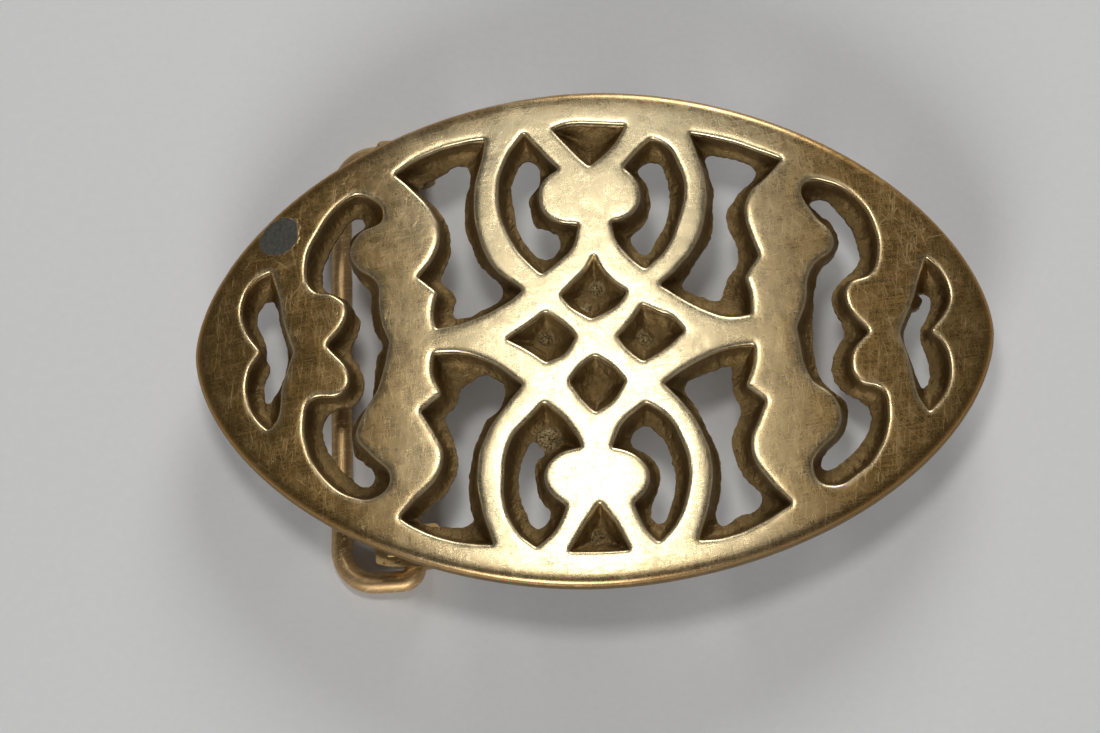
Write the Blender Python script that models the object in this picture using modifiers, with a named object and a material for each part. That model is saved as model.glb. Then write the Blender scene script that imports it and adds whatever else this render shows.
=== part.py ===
"""Oval pierced belt buckle: a bowed brass casting with a wire bail and a prong behind it.

World frame, in metres: +X runs along the buckle (the bail is at the -X end), +Y is up the
buckle as it is worn and +Z is out of its face. The buckle stands face up, on its two lugs
and its prong, and the origin is under its middle.
"""

import math

import bmesh
import bpy

MM = 0.001

# Face plate. Its outline is |x / half length| ** END_POWER + |y / half width| ** SIDE_POWER = 1.
HALF_LENGTH = 41.3
HALF_WIDTH = 26.0
END_POWER = 1.91
SIDE_POWER = 1.75
OUTLINE_POINTS = 88
THICKNESS = 3.3
EDGE_ROUND = 0.6
ROUNDING_STEPS = 2
CROWN_Z = 12.8
BOW_RADIUS = 220.0
BOW_STRIP = 5.9

# The walls of the openings lean inwards by the draft, and the blind pockets have a floor.
HOLE_DRAFT = 0.35
POCKET_DEPTH = 2.0
POCKET_DRAFT = 0.28
CUT_MARGIN = 0.6
STEPS_PER_CURVE = 2

# Bail: one wire with turned-in ends, which turn in the eyes of the two lugs.
WIRE_RADIUS = 1.1
BAIL_HALF_WIDTH = 23.2
BAIL_REACH = 8.0
BAIL_CORNER = 3.7
PIN_CORNER = 1.5
PIN_END_Y = 19.2
BEND_STEPS = 4
CORNER_STEPS = 6
WIRE_SIDES_STEP = 3

# Lugs: eyed ears whose round ends stand on the ground.
PIVOT_X = -19.0
EYE_RADIUS = 2.4
EYE_HOLE_RADIUS = 1.3
LUG_INNER_Y = 19.8
LUG_THICKNESS = 1.95
LUG_HALF_ROOT = 2.3
LUG_END_STEPS = 12
EYE_HOLE_SIDES = 24
PIVOT_Z = EYE_RADIUS

# Prong: a round post that steps outwards on its way down from the plate. Its foot tapers to the
# shank over two steps, the shank's stations are shares of its height, and its end is rounded.
PRONG_FOOT_X = 18.8
PRONG_TIP_X = 20.8
PRONG_FOOT_RADIUS = 2.0
PRONG_RADIUS = 1.45
PRONG_TIP_RADIUS = 1.0
PRONG_ROUND = 0.6
PRONG_ROUND_SHARE = 0.35
PRONG_ROUND_INSET = 0.12
FOOT_STEP = 0.5
FOOT_STEP_INSET = 0.3
FOOT_HEIGHT = 1.2
SHANK_SHARES = (0.72, 0.55, 0.38, 0.22)
SLOPE_TOP_SHARE = 0.85
PRONG_SIDES_STEP = 6

# Brazed pieces stop this far short of the plate's back.
JOINT_GAP = 0.32

# Edges sharper than these angles, in degrees, are drawn as edges.
SHARP_RIM = 60
SHARP_PLATE = 35
SHARP_LUG = 40
SHARP_ROUND = 50

# Points nearer than this, in metres, are one point, and faces within this angle, in radians, are one face.
WELD = 0.00001
FLAT = 0.01

BRASS_FACE = (0.56, 0.40, 0.17)
BRASS_WIRE = (0.58, 0.40, 0.20)
BRASS_ROUGH = (0.42, 0.29, 0.12)

# Every opening's edge on the flat, unbowed face, in millimetres. The carver cut each by eye, so no
# two are the same. A point with CORNER after it is a sharp corner, and the rest lie on smooth curves.
CORNER = "VECTOR"

PIERCED = {
    "quad_nw": [
        (-20, 18, CORNER), (-17.5, 19.6), (-13.8, 20.8), (-10.4, 21.3, CORNER), (-10.8, 19.3),
        (-11.6, 16.2), (-11.5, 12.1), (-9.9, 7.7), (-6.7, 4.9, CORNER), (-8.8, 3.4), (-12.3, 1.9),
        (-15.8, 1.2, CORNER), (-16.1, 2.9), (-15.6, 5.1, CORNER), (-17.7, 6.8, CORNER), (-15.9, 9),
        (-15.3, 11.4), (-16.3, 14), (-18.2, 16.3),
    ],
    "quad_ne": [
        (10.7, 21.2, CORNER), (14.9, 20.2), (17.9, 19.1), (20.2, 18.2, CORNER),
        (18.5, 16.3), (16.6, 14.3), (16.2, 12.4), (16.7, 10.2), (17.5, 8, CORNER),
        (16, 5.6, CORNER), (16.5, 3.7), (16.5, 1.7, CORNER), (13.9, 1.5), (10.9, 2.7),
        (7.2, 5, CORNER), (9.3, 7), (11.2, 9.6), (12.1, 12.6), (12.1, 16.4), (11.4, 19.1),
    ],
    "quad_sw": [
        (-16, -1.3, CORNER), (-13.4, -1.4), (-10.3, -2.5), (-6.9, -5, CORNER), (-8.8, -7.3),
        (-10.6, -9.8), (-11.7, -13.4), (-11.4, -17.1), (-10.1, -21.5, CORNER), (-14.6, -20.8),
        (-18, -19.4), (-19.7, -18.3, CORNER), (-17.8, -16.2), (-15.9, -14.3), (-15.2, -12),
        (-16.1, -9.7), (-17.5, -7.3, CORNER), (-15.3, -5.6, CORNER), (-16.2, -3.3),
    ],
    "quad_se": [
        (16.7, -1.5, CORNER), (14.2, -1.8), (10.6, -3.2), (7.3, -5.3, CORNER), (9.2, -7.3),
        (10.9, -10), (12, -13.4), (11.7, -17.2), (10.4, -21.6, CORNER), (13.2, -21.3),
        (16.6, -20), (19.9, -18, CORNER), (17.9, -15.7), (16.3, -13.3), (16.1, -11.3),
        (16.8, -9.5), (17.7, -7.3, CORNER), (15.7, -5.7, CORNER), (16.5, -3.5),
    ],
    "moon_nw": [
        (-6.4, 21.7, CORNER), (-4.9, 19.9), (-2.8, 17.7, CORNER), (-4.5, 16.4), (-4.9, 14.9),
        (-4.4, 13), (-3, 12), (-0.9, 11.7, CORNER), (-1.7, 9.1), (-3.3, 7.6), (-4.8, 6.5, CORNER),
        (-6.6, 8.3), (-8.4, 11.4), (-9.2, 14.8), (-8.5, 18.6),
    ],
    "moon_ne": [
        (6.8, 20.7, CORNER), (8.4, 19.8), (9.5, 17.8), (10.1, 15.2), (9.5, 12.3), (7.8, 8.5),
        (5.8, 6.7, CORNER), (4.3, 8), (3, 9.7), (2.4, 11.9, CORNER), (3.8, 12.2), (5.1, 13.2),
        (5.5, 14.8), (4.9, 16.5), (3.8, 17.7, CORNER), (5.3, 19.4),
    ],
    "moon_sw": [
        (-4.8, -7, CORNER), (-2.9, -8.6), (-1.6, -10.4), (-1, -11.7, CORNER), (-3.6, -12.5),
        (-4.9, -14.4), (-4.4, -16.1), (-2.7, -17.7, CORNER), (-3.9, -20.2), (-5.8, -21.9, CORNER),
        (-7.7, -20.2), (-8.9, -17.6), (-9, -14.3), (-8.2, -10.6), (-6.5, -8.7),
    ],
    "moon_se": [
        (5.5, -7.3, CORNER), (7.4, -8.5), (8.9, -10.9), (9.7, -14), (9.4, -16.9), (8.2, -19.8),
        (6.5, -21.7, CORNER), (5.2, -20.3), (4, -17.6, CORNER), (5.2, -16.4), (5.7, -14.8),
        (5, -13.3), (3.6, -12.3), (1.9, -11.8, CORNER), (3.2, -9.2),
    ],
    "eye_w": [
        (-33.1, 8.4, CORNER), (-34.6, 7.7), (-36.1, 5.3), (-36, 2.8), (-34.2, -0.2, CORNER),
        (-35.5, -2.4), (-35.5, -5.1), (-34.5, -7.3), (-33.3, -8.5, CORNER), (-32.4, -7.4),
        (-31.9, -3.9), (-30.7, -0.3, CORNER), (-31.6, 2.3), (-32.2, 5.3),
    ],
    "eye_e": [
        (34.5, 7.7, CORNER), (35.9, 6.3), (36.8, 3.8), (36.3, 1.9), (34.7, -0.1, CORNER),
        (35.9, -1.4), (36.5, -3.4), (36.1, -6.2), (34.2, -8.6, CORNER), (33.2, -6.9),
        (32.5, -3.8), (31.5, -0.3, CORNER), (33, 3.1), (33.8, 5.6),
    ],
    "wave_w": [
        (-23.5, 16), (-25.6, 15.2), (-27.9, 12.5), (-29.4, 8.7), (-28.7, 6.1), (-26.5, 5.4),
        (-25.1, 3.8), (-27.2, 0.1, CORNER), (-24.8, -3.7), (-25.8, -5.1), (-28.8, -5.5),
        (-29.5, -7.2), (-29.2, -10.6), (-27.5, -13.7), (-24.8, -15.8), (-22, -16), (-20.6, -14.2),
        (-22.7, -11.5), (-24.1, -9.6), (-23.5, -7.6), (-21.8, -4.5), (-20.6, 0.1, CORNER),
        (-21.5, 2.5), (-21.7, 4.6), (-21.8, 6.4), (-24, 8.3), (-24.7, 9.8), (-23.9, 11.7),
        (-21.2, 13.5),
    ],
    "wave_e": [
        (22.3, 15.5), (24.8, 15.7), (27.7, 13.9), (29.5, 10.5), (29.6, 7.7), (28.9, 6),
        (26.6, 4.8), (26.1, 3.4), (28.4, -0.2, CORNER), (26.5, -2.9), (27.1, -5.3), (29.5, -6.3),
        (30, -8.4), (29.2, -11.9), (27, -14.7), (23.4, -16.1), (22.1, -14.2), (22.9, -12.5),
        (24.6, -10.8), (25.2, -8.9), (24.6, -7), (22.4, -5.1), (21, 0.3, CORNER), (22.1, 3.1),
        (22.3, 5.4), (23.1, 7), (25, 8.6), (25.1, 10), (23.2, 12.3),
    ],
}

SUNK = {
    "gem_n": [
        (0.6, 8.4, CORNER), (1.3, 6.8), (2.4, 5.5), (3.9, 4.4, CORNER), (2.9, 3),
        (0.2, 1.6, CORNER), (-1.8, 2.9), (-2.9, 4.2, CORNER), (-1.3, 5.8), (-0.2, 6.9),
    ],
    "gem_w": [
        (-4.5, 2.5, CORNER), (-3, 1.5), (-1.4, -0.2, CORNER), (-2.8, -2.1), (-4.5, -2.8, CORNER),
        (-6.3, -1.5), (-8.6, -0.2, CORNER), (-6.5, 1.1),
    ],
    "gem_e": [
        (5.4, 3, CORNER), (7, 2.2), (8.3, 1.7), (9.7, 0.1, CORNER), (7.8, -1.6), (5.4, -3, CORNER),
        (3.8, -1.7), (2.7, -0.3, CORNER), (4.3, 1.4),
    ],
    "gem_s": [
        (0.5, -2.3, CORNER), (1.9, -3.2), (3.5, -5, CORNER), (2.2, -7), (0.4, -8.2, CORNER),
        (-1, -6.7), (-2.2, -4.9, CORNER), (-0.9, -3.2),
    ],
    "tri_n": [
        (-3.5, 22, CORNER), (-1.6, 22.5), (1.5, 22.4), (4.2, 22.2, CORNER), (2.7, 19.9),
        (0.3, 17.8, CORNER), (-1.5, 19.7),
    ],
    "tri_s": [
        (0.6, -17.5, CORNER), (2.1, -19.5), (3.6, -22.4, CORNER), (0.5, -22.5),
        (-2.6, -22.4, CORNER), (-0.9, -19.6),
    ],
}


def clear_scene():
    for obj in list(bpy.data.objects):
        bpy.data.objects.remove(obj, do_unlink=True)


def new_collection(name, hidden=False):
    collection = bpy.data.collections.new(name)
    collection.hide_render = hidden
    bpy.context.scene.collection.children.link(collection)
    return collection


def new_material(name, color, roughness):
    material = bpy.data.materials.new(name)
    material.use_nodes = True
    shader = material.node_tree.nodes["Principled BSDF"]
    shader.inputs["Base Color"].default_value = (*color, 1.0)
    shader.inputs["Roughness"].default_value = roughness
    shader.inputs["Metallic"].default_value = 1.0
    return material


def mesh_of(obj):
    """A copy of the object's evaluated mesh, with the caps of a curve welded to its sides."""
    graph = bpy.context.evaluated_depsgraph_get()
    mesh = bpy.data.meshes.new_from_object(obj.evaluated_get(graph))
    form = bmesh.new()
    form.from_mesh(mesh)
    bmesh.ops.remove_doubles(form, verts=form.verts, dist=WELD)
    form.to_mesh(mesh)
    form.free()
    return mesh


def to_mesh_object(obj):
    """The object with its modifiers or its curve turned into a mesh, in the same place."""
    name = obj.name
    collection = obj.users_collection[0]
    made = bpy.data.objects.new(name, mesh_of(obj))
    made.matrix_world = obj.matrix_world
    bpy.data.objects.remove(obj, do_unlink=True)
    made.name = name
    collection.objects.link(made)
    return made


def poly_curve(name, points, collection, dimensions="3D"):
    """A curve object through the points, which are given in millimetres."""
    curve = bpy.data.curves.new(name, "CURVE")
    curve.dimensions = dimensions
    spline = curve.splines.new("POLY")
    spline.points.add(len(points) - 1)
    for slot, point in zip(spline.points, points):
        slot.co = (*(MM * value for value in point), 1.0)
    obj = bpy.data.objects.new(name, curve)
    collection.objects.link(obj)
    return obj


def add_smooth_spline(curve, outline):
    """A closed Bezier spline round one opening."""
    spline = curve.splines.new("BEZIER")
    spline.bezier_points.add(len(outline) - 1)
    spline.use_cyclic_u = True
    spline.resolution_u = STEPS_PER_CURVE
    for slot, (x, y, *corner) in zip(spline.bezier_points, outline):
        slot.co = (MM * x, MM * y, 0.0)
        handle = corner[0] if corner else "AUTO"
        slot.handle_left_type = handle
        slot.handle_right_type = handle


def power(value, exponent):
    return math.copysign(abs(value) ** exponent, value)


def plate_outline():
    points = []
    for step in range(OUTLINE_POINTS):
        angle = 2 * math.pi * (step + 0.5) / OUTLINE_POINTS
        x = HALF_LENGTH * power(math.cos(angle), 2 / END_POWER)
        y = HALF_WIDTH * power(math.sin(angle), 2 / SIDE_POWER)
        points.append((x, y, 0.0))
    return points


def merge_flat_faces(mesh):
    """Joins the triangles of each flat cap into one face."""
    form = bmesh.new()
    form.from_mesh(mesh)
    bmesh.ops.dissolve_limit(form, angle_limit=FLAT, verts=form.verts, edges=form.edges)
    form.to_mesh(mesh)
    form.free()


def flat_blank(collection):
    """The plate before it is pierced and bowed: its face is at z = 0 and its edges are rounded."""
    blank = poly_curve("face_plate", plate_outline(), collection, "2D")
    blank.data.splines[0].use_cyclic_u = True
    blank.data.fill_mode = "BOTH"
    blank.data.extrude = MM * THICKNESS / 2
    blank.location.z = -MM * THICKNESS / 2
    bpy.context.view_layer.update()
    blank = to_mesh_object(blank)
    merge_flat_faces(blank.data)
    rounding = blank.modifiers.new("rounded edges", "BEVEL")
    rounding.width = MM * EDGE_ROUND
    rounding.segments = ROUNDING_STEPS
    rounding.limit_method = "ANGLE"
    rounding.angle_limit = math.radians(SHARP_RIM)
    return blank


def opening_cutter(name, outline, depth, draft, collection):
    """A closed plug that fills one opening down to the depth and stands proud of the face.

    The face of the outline is inset by the draft and lowered, and its rim is raised and capped.
    """
    curve = bpy.data.curves.new(name, "CURVE")
    curve.dimensions = "2D"
    curve.fill_mode = "BOTH"
    add_smooth_spline(curve, outline)
    guide = bpy.data.objects.new(name, curve)
    collection.objects.link(guide)
    bpy.context.view_layer.update()
    plug = to_mesh_object(guide)
    merge_flat_faces(plug.data)
    form = bmesh.new()
    form.from_mesh(plug.data)
    bmesh.ops.inset_region(
        form, faces=form.faces, thickness=MM * draft, use_boundary=True, use_even_offset=True
    )
    rim = [edge for edge in form.edges if edge.is_boundary]
    for vert in form.verts:
        if not vert.is_boundary:
            vert.co.z = -MM * depth
    raised = bmesh.ops.extrude_edge_only(form, edges=rim)["geom"]
    for part in raised:
        if isinstance(part, bmesh.types.BMVert):
            part.co.z = MM * CUT_MARGIN
    bmesh.ops.contextual_create(form, geom=[e for e in form.edges if e.is_boundary])
    bmesh.ops.recalc_face_normals(form, faces=form.faces)
    form.to_mesh(plug.data)
    form.free()
    return plug


def join_cutters(cutters, collection):
    """One cutter object that holds every plug."""
    form = bmesh.new()
    for cutter in cutters:
        form.from_mesh(cutter.data)
        bpy.data.objects.remove(cutter, do_unlink=True)
    mesh = bpy.data.meshes.new("openings")
    form.to_mesh(mesh)
    form.free()
    joined = bpy.data.objects.new("openings", mesh)
    joined.hide_render = True
    joined.display_type = "WIRE"
    collection.objects.link(joined)
    return joined


def bow(mesh):
    """Splits the flat plate into strips across its length and bends it about the Y axis."""
    form = bmesh.new()
    form.from_mesh(mesh)
    bmesh.ops.triangulate(form, faces=form.faces)
    strips = int(HALF_LENGTH / BOW_STRIP)
    for index in range(-strips, strips):
        station = MM * BOW_STRIP * (index + 0.5)
        everything = form.verts[:] + form.edges[:] + form.faces[:]
        bmesh.ops.bisect_plane(form, geom=everything, plane_co=(station, 0, 0), plane_no=(1, 0, 0))
    for vert in form.verts:
        vert.co.z += MM * CROWN_Z - bow_drop(vert.co.x / MM) * MM
    bmesh.ops.triangulate(form, faces=form.faces)
    form.to_mesh(mesh)
    form.free()


def bow_drop(x):
    """How far the bowed plate lies below its crown, in millimetres."""
    return x * x / (2 * BOW_RADIUS)


def make_face_plate(parts, cutters, material):
    plate = flat_blank(parts)
    through = THICKNESS + CUT_MARGIN
    plugs = [
        opening_cutter(name, outline, through, HOLE_DRAFT, cutters)
        for name, outline in PIERCED.items()
    ]
    plugs += [
        opening_cutter(name, outline, POCKET_DEPTH, POCKET_DRAFT, cutters)
        for name, outline in SUNK.items()
    ]
    cut = plate.modifiers.new("openings", "BOOLEAN")
    cut.operation = "DIFFERENCE"
    cut.object = join_cutters(plugs, cutters)
    bpy.context.view_layer.update()
    plate = to_mesh_object(plate)
    plate.data.transform(plate.matrix_world)
    plate.matrix_world.identity()
    bow(plate.data)
    plate.data.set_sharp_from_angle(angle=math.radians(SHARP_PLATE))
    plate.data.materials.append(material)
    return plate


def back_z(x):
    """The height of the plate's back, in millimetres."""
    return CROWN_Z - THICKNESS - bow_drop(x)


def arc(centre, radius, start, end, steps):
    """Points of an arc in the XY plane, in millimetres, between two angles in degrees."""
    points = []
    for step in range(steps + 1):
        angle = math.radians(start + (end - start) * step / steps)
        x = centre[0] + radius * math.cos(angle)
        y = centre[1] + radius * math.sin(angle)
        points.append((x, y, 0.0))
    return points


def bail_path():
    """The wire's centreline in the bail's own plane, from the upper pin round to the lower one."""
    pin_bend = arc((-PIN_CORNER, BAIL_HALF_WIDTH - PIN_CORNER), PIN_CORNER, 0, 90, BEND_STEPS)
    corner_centre = (-BAIL_REACH + BAIL_CORNER, BAIL_HALF_WIDTH - BAIL_CORNER)
    corner = arc(corner_centre, BAIL_CORNER, 90, 180, CORNER_STEPS)
    upper = [(0.0, PIN_END_Y, 0.0), *pin_bend, *corner]
    lower = [(x, -y, z) for x, y, z in reversed(upper)]
    return upper + lower


def make_bail(parts, material):
    bail = poly_curve("bail", bail_path(), parts)
    bail.data.bevel_depth = MM * WIRE_RADIUS
    bail.data.bevel_resolution = WIRE_SIDES_STEP
    bail.data.use_fill_caps = True
    bail = to_mesh_object(bail)
    bail.location = (MM * PIVOT_X, 0.0, MM * PIVOT_Z)
    bail.rotation_euler.y = -math.asin((PIVOT_Z - WIRE_RADIUS) / BAIL_REACH)
    bail.data.shade_smooth()
    bail.data.set_sharp_from_angle(angle=math.radians(SHARP_ROUND))
    bail.data.materials.append(material)
    return bail


def lug_outline():
    """Side view of a lug about its eye: its root follows the plate's back, and its end is round."""
    lean = math.degrees(math.asin((LUG_HALF_ROOT - EYE_RADIUS) / EYE_RADIUS))
    root = [
        (side, back_z(PIVOT_X + side) - JOINT_GAP - PIVOT_Z, 0.0)
        for side in (LUG_HALF_ROOT, -LUG_HALF_ROOT)
    ]
    return root + arc((0.0, 0.0), EYE_RADIUS, 180 + lean, 360 - lean, LUG_END_STEPS)


def make_lug(name, side, parts, material):
    """An eyed lug. side is 1 for the upper edge of the plate and -1 for the lower edge."""
    lug = poly_curve(name, lug_outline(), parts, "2D")
    lug.data.splines[0].use_cyclic_u = True
    eye = lug.data.splines.new("POLY")
    last_angle = 360 - 360 / EYE_HOLE_SIDES
    hole = arc((0.0, 0.0), EYE_HOLE_RADIUS, 0, last_angle, EYE_HOLE_SIDES - 1)
    eye.points.add(len(hole) - 1)
    for slot, point in zip(eye.points, hole):
        slot.co = (*(MM * value for value in point), 1.0)
    eye.use_cyclic_u = True
    lug.data.fill_mode = "BOTH"
    lug.data.extrude = MM * LUG_THICKNESS / 2
    lug.rotation_euler.x = math.radians(90)
    middle_y = side * (LUG_INNER_Y + LUG_THICKNESS / 2)
    lug.location = (MM * PIVOT_X, MM * middle_y, MM * PIVOT_Z)
    bpy.context.view_layer.update()
    lug = to_mesh_object(lug)
    lug.data.shade_smooth()
    lug.data.set_sharp_from_angle(angle=math.radians(SHARP_LUG))
    lug.data.materials.append(material)
    return lug


def prong_stations():
    """(x, z, radius) down the prong, from its foot under the plate to its flat tip on the ground."""
    top = back_z(PRONG_FOOT_X + PRONG_FOOT_RADIUS) - JOINT_GAP
    slope_top = SLOPE_TOP_SHARE * top
    stations = [
        (top, PRONG_FOOT_RADIUS),
        (top - FOOT_STEP, PRONG_FOOT_RADIUS - FOOT_STEP_INSET),
        (top - FOOT_HEIGHT, PRONG_RADIUS),
        *[(share * top, PRONG_RADIUS) for share in SHANK_SHARES],
        (PRONG_ROUND, PRONG_RADIUS),
        (PRONG_ROUND_SHARE * PRONG_ROUND, PRONG_RADIUS - PRONG_ROUND_INSET),
        (0.0, PRONG_TIP_RADIUS),
    ]
    placed = []
    for z, radius in stations:
        share = min(max((slope_top - z) / (slope_top - PRONG_ROUND), 0.0), 1.0)
        ease = share * share * (3 - 2 * share)
        placed.append((PRONG_FOOT_X + (PRONG_TIP_X - PRONG_FOOT_X) * ease, z, radius))
    return placed


def make_prong(parts, material):
    stations = prong_stations()
    path = [(x - PRONG_FOOT_X, 0.0, z) for x, z, _ in stations]
    prong = poly_curve("prong", path, parts)
    for slot, (_, _, radius) in zip(prong.data.splines[0].points, stations):
        slot.radius = radius / PRONG_RADIUS
    prong.data.bevel_depth = MM * PRONG_RADIUS
    prong.data.bevel_resolution = PRONG_SIDES_STEP
    prong.data.use_fill_caps = True
    prong = to_mesh_object(prong)
    prong.location.x = MM * PRONG_FOOT_X
    prong.data.shade_smooth()
    prong.data.set_sharp_from_angle(angle=math.radians(SHARP_ROUND))
    prong.data.materials.append(material)
    return prong


def main():
    clear_scene()
    parts = new_collection("belt_buckle")
    cutters = new_collection("cutters", hidden=True)
    face = new_material("polished brass", BRASS_FACE, 0.3)
    wire = new_material("drawn brass wire", BRASS_WIRE, 0.35)
    rough = new_material("cast brass", BRASS_ROUGH, 0.5)
    make_face_plate(parts, cutters, face)
    make_bail(parts, wire)
    make_lug("bail_lug_upper", 1, parts, rough)
    make_lug("bail_lug_lower", -1, parts, rough)
    make_prong(parts, rough)


main()
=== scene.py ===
"""Looks for the pierced oval belt buckle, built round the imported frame.

Everything is in the frame's own metres; lengths below are in millimetres and are scaled by MM.
"""

import math

import bmesh
import bpy
import numpy as np
from mathutils import Matrix, Vector, geometry, kdtree, noise


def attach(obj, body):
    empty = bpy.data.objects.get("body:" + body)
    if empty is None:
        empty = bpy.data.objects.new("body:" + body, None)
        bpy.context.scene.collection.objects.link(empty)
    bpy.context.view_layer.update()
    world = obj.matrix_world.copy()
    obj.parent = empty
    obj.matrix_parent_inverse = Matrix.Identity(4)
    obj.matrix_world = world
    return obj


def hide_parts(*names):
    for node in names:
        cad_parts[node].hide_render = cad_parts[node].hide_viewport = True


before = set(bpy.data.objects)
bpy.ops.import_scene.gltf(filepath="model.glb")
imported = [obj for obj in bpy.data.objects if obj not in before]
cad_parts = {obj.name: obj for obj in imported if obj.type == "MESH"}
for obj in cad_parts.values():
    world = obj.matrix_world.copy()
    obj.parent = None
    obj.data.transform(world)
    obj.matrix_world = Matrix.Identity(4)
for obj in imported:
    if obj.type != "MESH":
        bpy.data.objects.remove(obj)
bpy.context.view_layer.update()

MM = 0.001

# Face plate, as the frame has it: a superellipse that is bowed about the Y axis.
HALF_LENGTH = 41.3
HALF_WIDTH = 26.0
END_POWER = 1.91
SIDE_POWER = 1.75
THICKNESS = 3.3
CROWN_Z = 12.8
BOW_RADIUS = 220.0

# Steps of the mesh: round each opening, round the rim, over the face, in the pockets and on the back.
OUTLINE_SPACING = 0.2
RIM_SPACING = 0.35
FACE_SPACING = 0.75
FLOOR_SPACING = 0.3
BACK_SPACING = 1.1

# Height below the face against distance into an opening; negative distances are on the face.
LIP = [(-0.62, 0.0), (-0.4, -0.01), (-0.24, -0.035), (-0.12, -0.08), (-0.04, -0.15), (0.0, -0.28)]
WALL = [(0.05, -0.65), (0.11, -1.0), (0.18, -1.4), (0.26, -1.85), (0.34, -2.15)]
LEDGE = [(0.48, -2.4), (0.65, -2.6), (0.85, -2.72), (1.05, -2.8), (1.3, -2.85), (1.6, -2.88)]
POCKET = [
    (0.07, -0.6), (0.18, -0.85), (0.35, -1.1), (0.55, -1.35), (0.75, -1.6), (0.95, -1.78),
    (1.15, -1.9), (1.4, -1.98), (1.7, -2.03), (2.1, -2.05),
]
# Height below the face against distance in from the outline, first over the top, then round the side.
RIM_TOP = [
    (0.0, -1.15), (0.02, -0.85), (0.08, -0.55), (0.2, -0.33), (0.38, -0.17), (0.62, -0.07),
    (0.95, -0.015), (1.35, 0.0),
]
RIM_SIDE = [(0.0, -1.7), (0.03, -2.2), (0.1, -2.6), (0.25, -2.95), (0.5, -3.2), (0.85, -3.3)]

RIM_STEPS = 720
CURVE_STEPS = 16

# The lips are widest along the two webs' inner edges, and a ledge has at least the least width.
WIDE_LIP = 0.9
WIDE_LIP_X = 15.5
WIDE_LIP_REACH = 4.0
LEAST_LEDGE = 0.25
WIDE_LEDGE = (1.2, 2.6)
WIDE_STRETCH = 0.45

# Contours beside the edge of each through hole, and how near to other contours a point may lie.
HOLE_CONTOURS = (-0.22, -0.1, 0.0, 0.15)
CONTOUR_SLACK = 0.012
PAST_HOLE = 0.12
FLOOR_FROM = 1.75
CLEAR = 0.3

# Unevenness as (height, wavelength, seed) of each layer of noise.
CARVED = (0.05, 1.7)
WALL_SHIFT = [(0.075, 0.45, 3.1), (0.06, 1.2, 7.7)]
WALL_ROUGH = [(0.05, 0.33, 11.3), (0.06, 0.8, 5.9)]
FACE_WAVES = [(0.03, 9.0, 1.7), (0.012, 3.5, 8.8)]
HOLE_RAGGED = [(0.09, 0.5, 14.2), (0.08, 1.5, 21.5)]
BACK_WAVES = [(0.05, 2.4, 41.0)]

# Every opening's edge on the flat, unbowed face. A point with CORNER after it is a sharp corner,
# and the rest lie on smooth curves. These are the same outlines as the frame's. The points of all
# three tables were picked and put into millimetres with the camera fitted to the photo.
CORNER = "VECTOR"

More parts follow.
